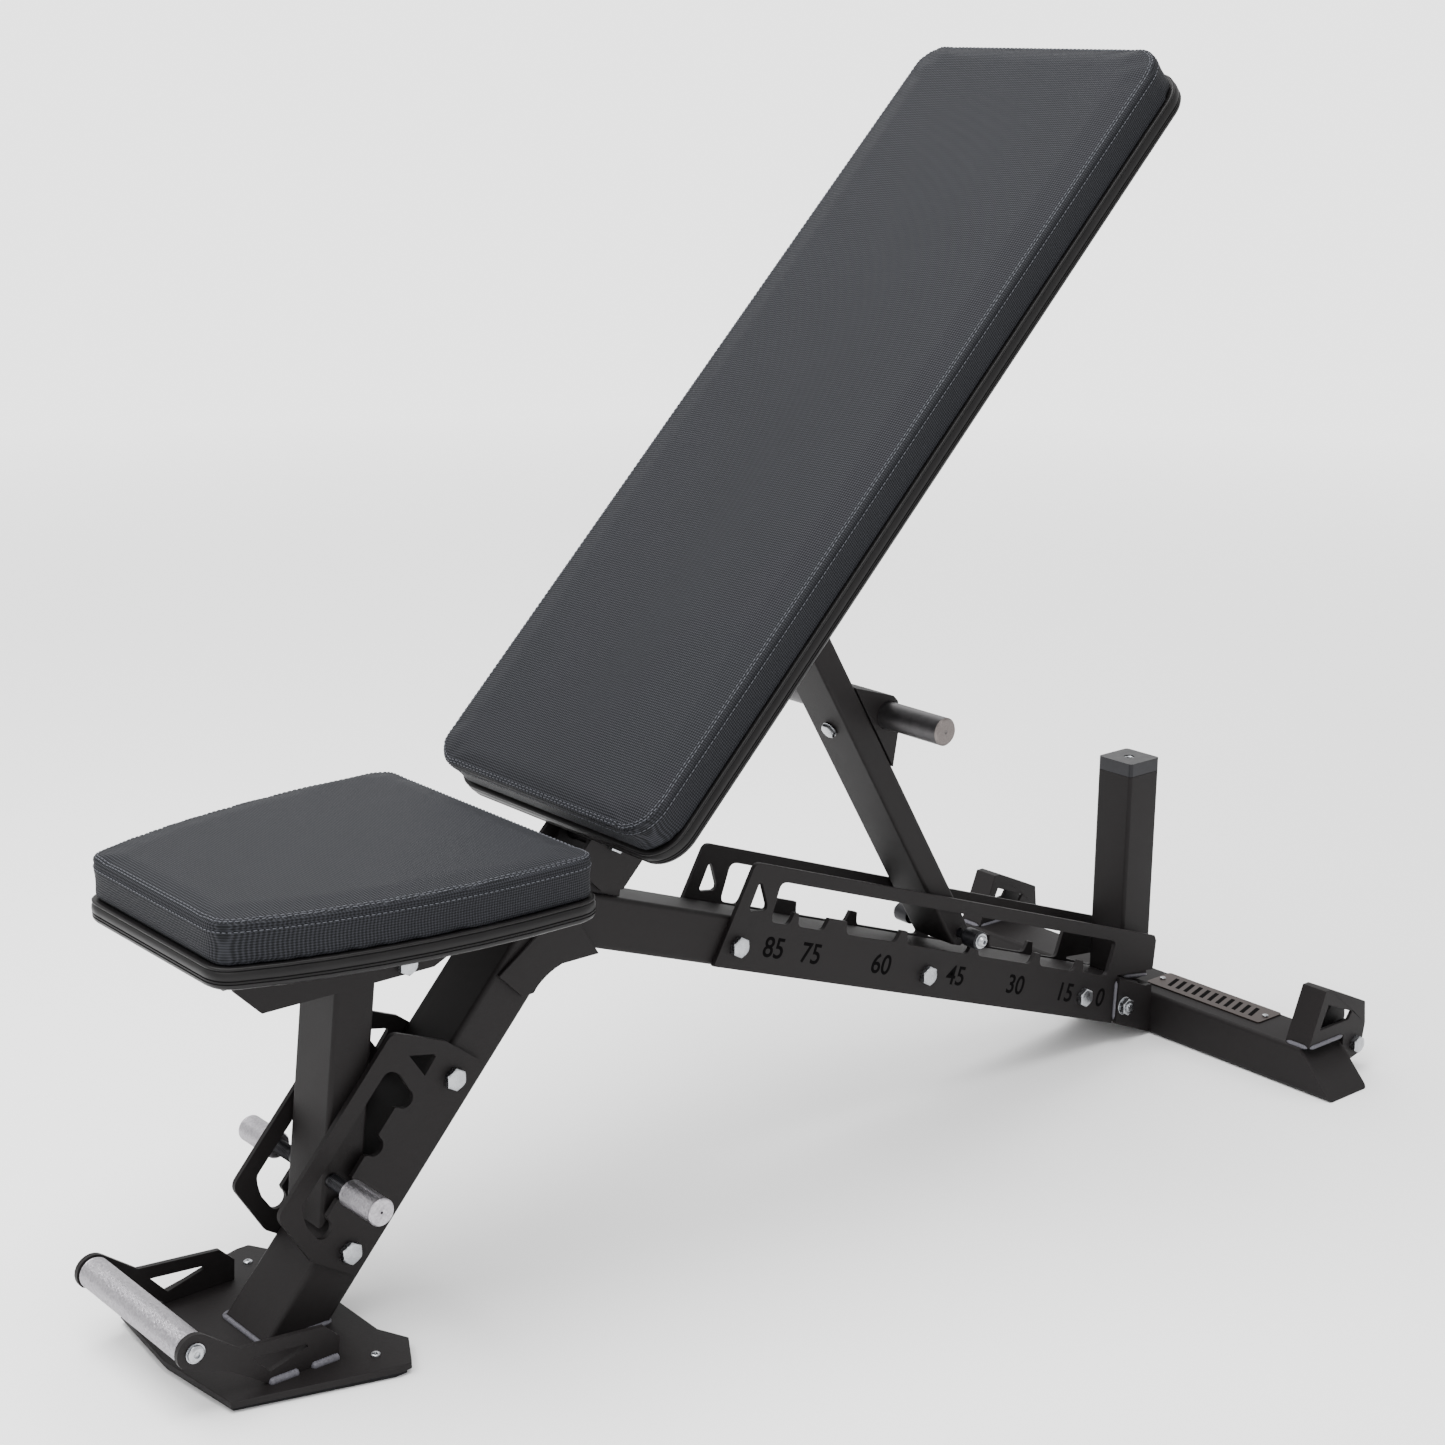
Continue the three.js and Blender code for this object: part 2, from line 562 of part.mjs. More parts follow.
const MOUNT_PLATE = { length: 64, width: 250, thick: 4 };
const mountTop = boardBack - GAP;
const mountBottom = mountTop - MOUNT_PLATE.thick;
["lower", "upper"].forEach((place, i) => {
  const x = BACK_BOLTS[2 * i][0];
  part(
    `back_mount_plate_${place}`,
    powderCoat,
    cut(
      solid(slab(roundedBox(MOUNT_PLATE.length, MOUNT_PLATE.width, 8), mountBottom, mountTop).translate(x, 0, 0)),
      ...[-PAD_SCREW.across, PAD_SCREW.across].map((y) =>
        boltDown(x, y, mountBottom - 5, mountTop + 5, PAD_SCREW.radius + RUN, 10),
      ),
    ),
    backGroup,
  );
});
BACK_BOLTS.forEach(([x, y], i) => {
  const side = y < 0 ? "near" : "far";
  const place = i < 2 ? "lower" : "upper";
  part(
    `back_bolt_${place}_${side}`,
    zinc,
    join(
      boltDown(x, y, mountBottom - 1, boardBack + PAD_SCREW.deep, PAD_SCREW.radius, 10),
      boltDown(x, y, mountBottom - PAD_SCREW.head, mountBottom - GAP, PAD_SCREW.corner, 6),
    ),
    backGroup,
  );
});

// The channel that carries the pad: a web and two cheeks that hold both pivots
const backPivot = localTo(backGroup, BACK_PIVOT);
const strutTop = localTo(backGroup, STRUT_TOP);
const channelTop = mountBottom - GAP;
const cheekIn = STRUT.width / 2 + SIDE_GAP;
const PIVOT_EYE = 18;

function backCheekShape() {
  const { x, z } = backPivot;
  const shape = new THREE.Shape();
  shape.moveTo(x - 30, channelTop);
  shape.lineTo(x - 44, z + 16);
  shape.lineTo(x - 44, z - 20);
  shape.lineTo(x - 29, z - 39);
  shape.lineTo(x + 90, z - 39);
  shape.lineTo(strutTop.x - 22, strutTop.z - PIVOT_EYE);
  shape.lineTo(strutTop.x + 22, strutTop.z - PIVOT_EYE);
  shape.lineTo(strutTop.x + 90, channelTop - 36);
  shape.lineTo(BACK_LENGTH - 110, channelTop - 26);
  shape.lineTo(BACK_LENGTH - 90, channelTop);
  shape.closePath();
  return shape;
}

const WEB_START = 9; // above the back pivot
part(
  "back_channel",
  powderCoat,
  cut(
    join(
      plate(backCheekShape(), -cheekIn - CHEEK, -cheekIn),
      plate(backCheekShape(), cheekIn, cheekIn + CHEEK),
      plate(
        [
          [backPivot.x + WEB_START, channelTop - 4], [backPivot.x + WEB_START, channelTop],
          [BACK_LENGTH - 90, channelTop], [BACK_LENGTH - 93, channelTop - 4],
        ],
        -cheekIn - CHEEK,
        cheekIn + CHEEK,
      ),
    ),
    rod(backPivot.x, backPivot.z, -60, 60, BOLT.radius + 1 + RUN, 12),
    rod(strutTop.x, strutTop.z, -60, 60, BOLT.radius + RUN, 12),
  ),
  backGroup,
);

// A pair of lugs joined by a sleeve, standing on a tube's face between two cheeks
function lug(eye, foot, halfFoot, eyeRadius, bore) {
  const { x, z } = eye;
  const inner = STRUT.width / 2 - 5;
  const side = [[x - halfFoot, foot], [x - eyeRadius, z], [x - eyeRadius * 0.7, z + eyeRadius * 0.7]];
  const top = [[x, z + eyeRadius], [x + eyeRadius * 0.7, z + eyeRadius * 0.7], [x + eyeRadius, z], [x + halfFoot, foot]];
  const outline = [...side, ...top];
  return cut(
    join(
      plate(outline, -STRUT.width / 2, -inner),
      plate(outline, inner, STRUT.width / 2),
      rod(x, z, -inner - 1, inner + 1, eyeRadius * 0.75, 16),
    ),
    rod(x, z, -60, 60, bore + RUN, 12),
  );
}

const backEye = localTo(spineGroup, BACK_PIVOT);
const seatEye = localTo(legGroup, SEAT_PIVOT);
part("back_hinge_lug", powderCoat, lug(backEye, TUBE.depth + GAP, 26, 17, BOLT.radius + 1), spineGroup);
part("seat_hinge_lug", powderCoat, lug(seatEye, GAP, 22, 12, BOLT.radius), legGroup);
const cheekFaceOut = cheekIn + CHEEK;
part("back_pivot_bolt", zinc, boltBody(BACK_PIVOT.x, BACK_PIVOT.y, cheekFaceOut, BOLT.radius + 1, 19));
part("strut_pivot_bolt", zinc, boltBody(STRUT_TOP.x, STRUT_TOP.y, cheekFaceOut));
part("seat_pivot_bolt", zinc, boltBody(SEAT_PIVOT.x, SEAT_PIVOT.y, cheekFaceOut));

// Strut: from the channel down to the pin that rests in the rear ladder
const strutPin = localPoint(spineGroup, STRUT_PIN.along, STRUT_PIN.up);
const strutLength = STRUT_TOP.distanceTo(strutPin);
const strutAngle = THREE.MathUtils.radToDeg(Math.atan2(strutPin.y - STRUT_TOP.y, strutPin.x - STRUT_TOP.x));
const strutGroup = sideGroup(STRUT_TOP, strutAngle);
const STRUT_BOLT = { along: 147, grip: 5 };
const halfDepth = STRUT.depth / 2;
const endCut = (x, sign) => [
  [x, sign * 30], [x - 9, sign * halfDepth], [x, sign * (halfDepth - 8)], [x + 30, sign * (halfDepth - 8)],
];
part(
  "strut_tube",
  powderCoat,
  cut(
    solid(tube(-15, strutLength + 13, 0, STRUT)),
    rod(0, 0, -60, 60, BOLT.radius + RUN, 12),
    rod(strutLength, 0, -60, 60, STRUT_PIN.radius + RUN, 12),
    plate(endCut(strutLength + 13, -1), -60, 60),
    plate(endCut(strutLength + 13, 1), -60, 60),
    boltDown(STRUT_BOLT.along, 0, -40, 40, 4 + RUN, 10),
  ),
  strutGroup,
);
part(
  "strut_bolt",
  zinc,
  join(
    boltDown(STRUT_BOLT.along, 0, -halfDepth - 1, halfDepth + STRUT_BOLT.grip, 4, 10),
    boltDown(STRUT_BOLT.along, 0, -halfDepth - 6, -halfDepth - GAP, 7.5, 6),
  ),
  strutGroup,
);
const HUB = 16;
part(
  "strut_hub",
  powderCoat,
  cut(
    join(
      plate(
        [
          [HANDLE.along - 53, halfDepth + GAP], [HANDLE.along - 12, HANDLE.out + HUB],
          [HANDLE.along - 4, HANDLE.out + HUB + 2], [HANDLE.along + 14, HANDLE.out + HUB - 4],
          [HANDLE.along + 52, halfDepth + GAP],
        ],
        -STRUT.width / 2,
        STRUT.width / 2,
      ),
    ),
    rod(HANDLE.along, HANDLE.out, -60, 60, HANDLE.radius + GAP, 28),
    boltDown(STRUT_BOLT.along, 0, 0, halfDepth + STRUT_BOLT.grip + GAP, 4 + RUN, 10),
  ),
  strutGroup,
);
const handleBar = rod(HANDLE.along, HANDLE.out, -HANDLE.reach, HANDLE.reach, HANDLE.radius, 28);
part("strut_handle_bar", blackSteel, handleBar, strutGroup);
const bossFrom = ladderFace + SIDE_GAP;
part(
  "strut_pin",
  blackSteel,
  join(
    rod(strutLength, 0, -bossFrom - 1, bossFrom + 1, STRUT_PIN.radius, 20),
    rod(strutLength, 0, -STRUT_PIN.reach, -bossFrom, STRUT_PIN.boss, 24),
    rod(strutLength, 0, bossFrom, STRUT_PIN.reach, STRUT_PIN.boss, 24),
  ),
  strutGroup,
);

// Seat: a pad that widens to the rear, on a folded bracket
const SEAT = { front: 24, rear: 362 };
function seatShape() {
  const shape = new THREE.Shape();
  shape.moveTo(SEAT.front, -90);
  shape.lineTo(SEAT.front, 90);
  shape.quadraticCurveTo(SEAT.front, 108, 40, 115);
  shape.bezierCurveTo(100, 142, 190, 162, 285, 165);
  shape.lineTo(SEAT.rear - 24, 165);
  shape.quadraticCurveTo(SEAT.rear, 163, SEAT.rear, 140);
  shape.lineTo(SEAT.rear, -140);
  shape.quadraticCurveTo(SEAT.rear, -163, SEAT.rear - 24, -165);
  shape.lineTo(285, -165);
  shape.bezierCurveTo(190, -162, 100, -142, 40, -115);
  shape.quadraticCurveTo(SEAT.front, -108, SEAT.front, -90);
  return shape;
}
const seatBoardTop = SEAT_TOP - PAD_THICK;
const seatBoardBottom = seatBoardTop - BOARD_THICK;
part("seat_pad", fabric, slab(seatShape(), seatBoardTop + GAP, SEAT_TOP));
part("seat_board", trim, slab(seatShape(), seatBoardBottom, seatBoardTop));

const seatWeb = seatBoardBottom - GAP;
const STOP_BOLT = new THREE.Vector2(246, SEAT_UNDER - 51);
const postEndRadius = Math.hypot(POST.depth / 2, 10);
const seatCheek = [
  [80, seatWeb], [80, SEAT_UNDER - 36], [105, SEAT_UNDER - 61], [275, SEAT_UNDER - 61],
  [SEAT_PIVOT.x - 10, SEAT_PIVOT.y - 10], [SEAT_PIVOT.x, SEAT_PIVOT.y - 13],
  [SEAT_PIVOT.x + 10, SEAT_PIVOT.y - 9], [SEAT_PIVOT.x + 13, SEAT_PIVOT.y], [SEAT_PIVOT.x + 9, SEAT_PIVOT.y + 9],
  [SEAT_PIVOT.x - 8, seatWeb],
];
part(
  "seat_bracket",
  powderCoat,
  cut(
    join(
      plate(seatCheek, -cheekIn - CHEEK, -cheekIn),
      plate(seatCheek, cheekIn, cheekIn + CHEEK),
      plate(
        [[80, seatWeb], [SEAT_PIVOT.x - 20, seatWeb], [SEAT_PIVOT.x - 22, seatWeb - 3], [80, seatWeb - 3]],
        -cheekIn - CHEEK,
        cheekIn + CHEEK,
      ),
    ),
    rod(SEAT_PIVOT.x, SEAT_PIVOT.y, -60, 60, BOLT.radius + RUN, 12),
    rod(POST_TOP.x, POST_TOP.y, -60, 60, BOLT.radius + RUN, 12),
    rod(STOP_BOLT.x, STOP_BOLT.y, -60, 60, BOLT.radius + RUN, 12),
  ),
);
part("seat_stop_bolt", zinc, boltBody(STOP_BOLT.x, STOP_BOLT.y, cheekFaceOut));
part("seat_post_bolt", zinc, boltBody(POST_TOP.x, POST_TOP.y, cheekFaceOut));

// Seat post: hangs from the bracket, its pin resting in the front ladder
const seatPin = localPoint(legGroup, SEAT_PIN.along, SEAT_PIN.up);
const postGroup = sideGroup(POST_TOP, -90 - POST_LEAN);
const pinOnPost = localTo(postGroup, seatPin);
const legNormal = new THREE.Vector3(0, 0, 1).applyQuaternion(legGroup.quaternion);
const postFoot = localPoint(legGroup, SEAT_PIN.along, SEAT_PIN.up - SEAT_PIN.radius - 13);
part(
  "seat_post",
  powderCoat,
  cut(
    solid(tube(-postEndRadius / 2, pinOnPost.x + 60, 0, POST)),
    inGroup(postGroup, halfSpace(new THREE.Vector3(postFoot.x, 0, postFoot.y), legNormal.clone().negate())),
    rod(0, 0, -60, 60, BOLT.radius + RUN, 12),
    rod(pinOnPost.x, pinOnPost.z, -60, 60, SEAT_PIN.radius + RUN, 12),
  ),
  postGroup,
);
part(
  "seat_pin",
  blackSteel,
  join(
    rod(pinOnPost.x, pinOnPost.z, -SEAT_PIN.start, SEAT_PIN.start, SEAT_PIN.radius, 16),
    rod(pinOnPost.x, pinOnPost.z, -SEAT_PIN.start - 25, SEAT_PIN.start + 25, 4, 10),
  ),
  postGroup,
);
eachSide((side, sign) =>
  part(
    `seat_grip_${side}`,
    knurled,
    cut(
      solid(rod(pinOnPost.x, pinOnPost.z, ...span(sign, SEAT_PIN.start + GAP, SEAT_PIN.end), SEAT_PIN.grip, 28)),
      rod(pinOnPost.x, pinOnPost.z, ...span(sign, SEAT_PIN.start - 5, SEAT_PIN.start + 27), 4 + RUN, 10),
    ),
    postGroup,
  ),
);

// The origin is on the floor under the middle of the bench.
const box = new THREE.Box3().setFromObject(bench, true);
bench.position.set(-(box.min.x + box.max.x) / 2, 0, -box.min.z);

export default bench;
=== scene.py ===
# %% [markdown]
# # Adjustable weight bench
# A welded, powder-coated steel frame carries two upholstered pads. The frame is already modelled and
# packed as a fixed assembly, so this script only dresses it: it bevels the steel, builds the cushions,
# the fasteners and the knurled grips in detail, and gives every surface its finish.

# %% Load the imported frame
import json
import math

import bpy
from mathutils import Matrix, Vector
from mathutils.bvhtree import BVHTree

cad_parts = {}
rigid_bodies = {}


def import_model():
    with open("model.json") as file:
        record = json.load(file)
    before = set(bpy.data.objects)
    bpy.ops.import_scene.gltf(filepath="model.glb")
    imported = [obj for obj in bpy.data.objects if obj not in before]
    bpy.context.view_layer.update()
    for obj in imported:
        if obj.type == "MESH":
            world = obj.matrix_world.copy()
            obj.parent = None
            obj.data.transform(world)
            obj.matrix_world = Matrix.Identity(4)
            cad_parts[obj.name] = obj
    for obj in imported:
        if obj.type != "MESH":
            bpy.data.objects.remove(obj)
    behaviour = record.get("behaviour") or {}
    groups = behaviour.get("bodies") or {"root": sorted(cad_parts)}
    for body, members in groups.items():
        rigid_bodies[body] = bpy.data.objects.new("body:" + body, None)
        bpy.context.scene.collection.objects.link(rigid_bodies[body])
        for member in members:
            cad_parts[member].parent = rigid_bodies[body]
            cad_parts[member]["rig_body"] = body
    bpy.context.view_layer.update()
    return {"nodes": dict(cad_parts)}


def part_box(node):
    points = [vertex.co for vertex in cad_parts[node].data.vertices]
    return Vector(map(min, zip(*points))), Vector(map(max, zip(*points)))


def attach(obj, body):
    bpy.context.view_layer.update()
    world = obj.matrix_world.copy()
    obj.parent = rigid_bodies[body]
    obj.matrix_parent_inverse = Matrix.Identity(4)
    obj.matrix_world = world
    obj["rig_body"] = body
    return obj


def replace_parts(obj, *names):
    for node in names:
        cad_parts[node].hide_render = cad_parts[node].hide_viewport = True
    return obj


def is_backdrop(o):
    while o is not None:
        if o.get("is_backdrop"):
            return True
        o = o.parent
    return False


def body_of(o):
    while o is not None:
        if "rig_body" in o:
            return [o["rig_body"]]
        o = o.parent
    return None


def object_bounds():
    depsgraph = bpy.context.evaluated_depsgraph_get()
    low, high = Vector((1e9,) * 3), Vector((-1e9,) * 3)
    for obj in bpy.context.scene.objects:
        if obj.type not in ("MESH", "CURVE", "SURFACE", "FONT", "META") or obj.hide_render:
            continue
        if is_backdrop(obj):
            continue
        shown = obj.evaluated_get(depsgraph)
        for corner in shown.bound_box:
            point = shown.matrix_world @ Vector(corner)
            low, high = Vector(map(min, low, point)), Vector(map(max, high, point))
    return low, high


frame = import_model()
NODES = frame["nodes"]
MM = 0.001

# %% [markdown]
# ## Camera
# The bench is seen from its front left, a little above, through a short telephoto lens. A camera looks
# along its own -Z axis, so its three axes are written out from the two view angles and the small roll.

# %% Camera
CAMERA_PLACE = Vector((-1.51405, -1.74205, 1.09969))
AZIMUTH, ELEVATION, ROLL = (math.radians(angle) for angle in (-40.39, 15.57, 0.42))

backward = Vector(
    (
        math.sin(AZIMUTH) * math.cos(ELEVATION),
        -math.cos(AZIMUTH) * math.cos(ELEVATION),
        math.sin(ELEVATION),
    )
)
level_right = Vector((math.cos(AZIMUTH), math.sin(AZIMUTH), 0))
right = level_right * math.cos(ROLL) + backward.cross(level_right) * math.sin(ROLL)
camera = bpy.data.objects.new("camera", bpy.data.cameras.new("camera"))
camera.data.lens, camera.data.sensor_width = 62.18, 36
camera.matrix_world = Matrix.Translation(CAMERA_PLACE) @ (
    Matrix((right, backward.cross(right), backward)).transposed().to_4x4()
)
bpy.context.scene.collection.objects.link(camera)
bpy.context.scene.camera = camera

# %% [markdown]
# ## Materials
# Each finish starts from a real material. One function turns sRGB hex colours to linear, one makes a
# surface with its plain values, and one adds a node with its settings and links. Values that are the
# same all over a surface sit on the shader's own sockets, and only patterns come through nodes.


# %% Colour, surface and node helpers
def linear(hex_colour):
    """An sRGB hex colour as linear RGBA."""
    shares = [int(hex_colour[i : i + 2], 16) / 255 for i in (1, 3, 5)]
    return [s / 12.92 if s <= 0.04045 else ((s + 0.055) / 1.055) ** 2.4 for s in shares] + [1.0]


def surface(name, base, roughness, metallic=0.0, **sockets):
    """A node material whose shader holds these plain values."""
    made = bpy.data.materials.new(name)
    made.use_nodes = True
    shader = made.node_tree.nodes["Principled BSDF"]
    plain = {"Base Color": linear(base), "Roughness": roughness, "Metallic": metallic}
    for socket, value in {**plain, **sockets}.items():
        shader.inputs[socket.replace("_", " ")].default_value = value
    return made


def add(material, kind, inputs=None, **settings):
    """Adds a node, and gives each input a value or a link. Returns its outputs."""
    node = material.node_tree.nodes.new(kind)
    for key, value in settings.items():
        setattr(node, key, value)
    for socket, value in (inputs or {}).items():
        if isinstance(value, bpy.types.NodeSocket):
            material.node_tree.links.new(value, node.inputs[socket])
        else:
            node.inputs[socket].default_value = value
    return node.outputs


def feed(material, **links):
    """Links outputs to the shader's sockets."""
    shader = material.node_tree.nodes["Principled BSDF"]
    for socket, output in links.items():
        material.node_tree.links.new(output, shader.inputs[socket.replace("_", " ")])


def place(material):
    return add(material, "ShaderNodeTexCoord")["Object"]


def grain(material, size, detail=2.0, vector=None):
    """Noise whose features are about size metres across."""
    where = place(material) if vector is None else vector
    return add(
        material, "ShaderNodeTexNoise", {"Vector": where, "Scale": 1 / size, "Detail": detail}
    )["Fac"]


def between(material, share, low, high):
    """A ramp of two colours, or of two greys given as numbers."""
    node = add(material, "ShaderNodeValToRGB", {"Fac": share})["Color"].node
    for stop, colour in zip(node.color_ramp.elements, (low, high)):
        stop.color = linear(colour) if isinstance(colour, str) else [colour] * 3 + [1]
    return node.outputs["Color"]


def relief(material, height, depth):
    """A bump of this depth in metres."""
    return add(
        material, "ShaderNodeBump", {"Height": height, "Distance": depth, "Strength": 1.0}
    )["Normal"]


# %% [markdown]
# ## Powder-coated steel
# The tubes and plates are mild steel with a baked polyester powder coat. Powder melts into a skin with a
# fine orange-peel grain of about a millimetre, which breaks up reflections and gives a soft satin sheen.

# %% Powder coat
powder_coat = surface("powder_coated_steel", "#151314", 0.5, Specular_IOR_Level=0.18)
peel = grain(powder_coat, 1.4 * MM, 3)
clouds = grain(powder_coat, 90 * MM, 4)
feed(
    powder_coat,
    Base_Color=between(powder_coat, clouds, "#110f10", "#1a1717"),
    Roughness=between(powder_coat, clouds, 0.52, 0.66),
    Normal=relief(powder_coat, peel, 0.12 * MM),
)

# The bead of a weld lies under the same coat. Its light grey, lighter still on its ripples, is a painted
# highlight for the light that its rounded ripples catch.
weld_coat = surface("powder_coated_weld", "#4d4c50", 0.5, Specular_IOR_Level=0.3)
ripples = grain(weld_coat, 3 * MM, 3)
feed(
    weld_coat,
    Base_Color=between(weld_coat, ripples, "#38373b", "#63626a"),
    Normal=relief(weld_coat, ripples, 0.3 * MM),
)

# %% [markdown]
# ## Zinc, black oxide, knurled and bare steel
# Bolts and nuts are bright zinc-plated steel, pins are black-oxide steel, and the grips are turned bars
# with a knurl rolled in. The name plate is mild steel left bare, with the fine lines of its rolling.

# %% Metal finishes
zinc_plate = surface("zinc_plated_steel", "#aeb0b3", 0.26, 1.0)
bloom = grain(zinc_plate, 5 * MM, 5)
feed(
    zinc_plate,
    Base_Color=between(zinc_plate, bloom, "#86888c", "#bcbec1"),
    Roughness=between(zinc_plate, bloom, 0.18, 0.36),
    Normal=relief(zinc_plate, bloom, 0.05 * MM),
)

black_oxide = surface("black_oxide_steel", "#1a1a1c", 0.38, 0.6)
oil = grain(black_oxide, 8 * MM, 4)
feed(
    black_oxide,
    Base_Color=between(black_oxide, oil, "#151517", "#26262a"),
    Roughness=between(black_oxide, oil, 0.3, 0.48),
)

knurled_steel = surface("knurled_satin_steel", "#b9b6ba", 0.34, 1.0)
handled = grain(knurled_steel, 2.2 * MM, 5)
feed(
    knurled_steel,
    Base_Color=between(knurled_steel, handled, "#6d6a6f", "#cdcacf"),
    Roughness=between(knurled_steel, handled, 0.26, 0.5),
    Normal=relief(knurled_steel, handled, 0.5 * MM),
)

turned_black = surface("turned_blackened_steel", "#4b4a4b", 0.42, 0.8)
rubbed = grain(turned_black, 10 * MM, 5)
feed(
    turned_black,
    Base_Color=between(turned_black, rubbed, "#39383a", "#5d5b5c"),
    Roughness=between(turned_black, rubbed, 0.34, 0.54),
)

faced_steel = surface("faced_bare_steel", "#6f6967", 0.4, 1.0)
facing_marks = grain(faced_steel, 1.5 * MM, 4)
feed(
    faced_steel,
    Base_Color=between(faced_steel, facing_marks, "#57514f", "#7d7775"),
    Roughness=between(faced_steel, facing_marks, 0.26, 0.42),
)

bare_steel = surface("rolled_mild_steel", "#433a37", 0.42, 0.85)
stretched = add(
    bare_steel,
    "ShaderNodeVectorMath",
    {0: place(bare_steel), 1: (1.0, 0.04, 1.0)},
    operation="MULTIPLY",
)["Vector"]
rolling = grain(bare_steel, 0.9 * MM, 3, stretched)
feed(
    bare_steel,
    Base_Color=between(bare_steel, rolling, "#2f2725", "#4d4340"),
    Roughness=between(bare_steel, rolling, 0.34, 0.52),
    Normal=relief(bare_steel, rolling, 0.03 * MM),
)

# %% [markdown]
# ## Woven cover
# The pads are covered in a coated polyester weave, whose threads cross every 1.5 mm or so. That is too
# fine to see where the whole bench is in view, so the weave is drawn twice as coarse. Two crossing sine
# waves make it: their product is high where one thread lies on top. On the faces of the pad the threads
# run slantwise, and on its sides the same slant is kept by adding the height to the way round.

# %% Woven polyester
THREAD_SPACING = 3.3 * MM
woven_cover = surface("woven_polyester_cover", "#1c1d20", 0.6, Specular_IOR_Level=0.12)
where = add(woven_cover, "ShaderNodeTexCoord")
flat = add(woven_cover, "ShaderNodeSeparateXYZ", {"Vector": where["Object"]})
facing = add(woven_cover, "ShaderNodeSeparateXYZ", {"Vector": where["Normal"]})


def sum_of(material, a, b, operation="ADD"):
    return add(material, "ShaderNodeMath", {0: a, 1: b}, operation=operation)["Value"]


steep = add(woven_cover, "ShaderNodeMath", {0: facing["Z"]}, operation="ABSOLUTE")["Value"]
on_top = sum_of(woven_cover, steep, 0.6, "GREATER_THAN")
way_round = sum_of(woven_cover, flat["X"], flat["Y"])
across = sum_of(woven_cover, flat["X"], flat["Y"], "SUBTRACT")
side_up = sum_of(woven_cover, way_round, flat["Z"])
side_down = sum_of(woven_cover, way_round, flat["Z"], "SUBTRACT")


def wave(top, side):
    """A sine wave along one set of threads, on the top or the side of a pad."""
    chosen = add(
        woven_cover, "ShaderNodeMix", {"Factor": on_top, "A": side, "B": top}, data_type="FLOAT"
    )["Result"]
    turn = sum_of(woven_cover, chosen, math.pi * math.sqrt(2) / THREAD_SPACING, "MULTIPLY")
    return add(woven_cover, "ShaderNodeMath", {0: turn}, operation="SINE")["Value"]


threads = sum_of(woven_cover, wave(way_round, side_up), wave(across, side_down), "MULTIPLY")
crowns = add(
    woven_cover,
    "ShaderNodeMapRange",
    {"Value": threads, "From Min": -0.6, "From Max": 1.0, "To Min": 0.0, "To Max": 1.0},
)["Result"]
faded = grain(woven_cover, 60 * MM, 4)
thread_colour = between(woven_cover, crowns, "#060708", "#313237")
aged = add(
    woven_cover,
    "ShaderNodeMix",
    {"Factor": 0.25, "A": thread_colour, "B": between(woven_cover, faded, "#18191c", "#222327")},
    data_type="RGBA",
)
feed(
    woven_cover,
    Base_Color=aged[2],
    Roughness=between(woven_cover, crowns, 0.72, 0.5),
    Normal=relief(woven_cover, crowns, 0.6 * MM),
)

# %% [markdown]
# ## Edging, thread, rubber and marks
# A pliable PVC edging hides the board under each pad. It is extruded, so its fine lines run round the
# pad. The seams are sewn in a grey polyester thread. Rubber shows only under the foot and on the wheels.

# %% Plastics and rubber
edging_pvc = surface("extruded_pvc_edging", "#100f10", 0.4, Specular_IOR_Level=0.18)
scuffs = grain(edging_pvc, 20 * MM, 5)
feed(
    edging_pvc,
    Base_Color=between(edging_pvc, scuffs, "#0d0c0d", "#171616"),
    Roughness=between(edging_pvc, scuffs, 0.3, 0.5),
    Normal=relief(edging_pvc, grain(edging_pvc, 1.2 * MM), 0.04 * MM),
)

sewing_thread = surface("polyester_thread", "#4a4c52", 0.6)
twist = grain(sewing_thread, 1 * MM)
feed(sewing_thread, Base_Color=between(sewing_thread, twist, "#2d2f34", "#4b4d54"))

moulded_rubber = surface("moulded_rubber", "#101011", 0.78, Specular_IOR_Level=0.2)
pores = grain(moulded_rubber, 2 * MM, 4)
feed(
    moulded_rubber,
    Base_Color=between(moulded_rubber, pores, "#0c0c0d", "#161618"),
    Normal=relief(moulded_rubber, pores, 0.1 * MM),
)

# Painted shade: a near-black matt face for the shadow inside a cut through the steel, faintly mottled.
cut_shadow = surface("painted_shade_in_a_cut", "#060606", 0.9, Specular_IOR_Level=0.05)
shade_mottle = grain(cut_shadow, 3 * MM)
feed(cut_shadow, Base_Color=between(cut_shadow, shade_mottle, "#030303", "#080708"))

FINISH_OF_SLOT = {
    "powder_coat": powder_coat,
    "zinc": zinc_plate,
    "black_steel": black_oxide,
    "knurled_grip": knurled_steel,
    "fabric": woven_cover,
    "trim": edging_pvc,
    "rubber": moulded_rubber,
    "bare_steel": bare_steel,
}

# %% [markdown]
# ## Dressing the steel
# A sharp edge never catches light the way steel does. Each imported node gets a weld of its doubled
# points, a small bevel on its square edges, and weighted normals that keep the flat faces flat.

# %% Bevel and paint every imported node
EDGE_ROUND = 0.9 * MM
SQUARE_EDGE = math.radians(50)
SLOT_OF = {}

for name, node in NODES.items():
    SLOT_OF[name] = node.data.materials[0].name.split(".")[0]
    node.data.materials[0] = FINISH_OF_SLOT[SLOT_OF[name]]
    node.data.polygons.foreach_set("use_smooth", [True] * len(node.data.polygons))
    join = node.modifiers.new("join_points", "WELD")
    join.merge_threshold = 0.02 * MM
    bevel = node.modifiers.new("edge_round", "BEVEL")
    bevel.width, bevel.segments = EDGE_ROUND, 2
    bevel.limit_method, bevel.angle_limit = "ANGLE", SQUARE_EDGE
    bevel.use_clamp_overlap = True
    node.modifiers.new("flat_faces", "WEIGHTED_NORMAL").keep_sharp = True
print(len(NODES), "nodes dressed")


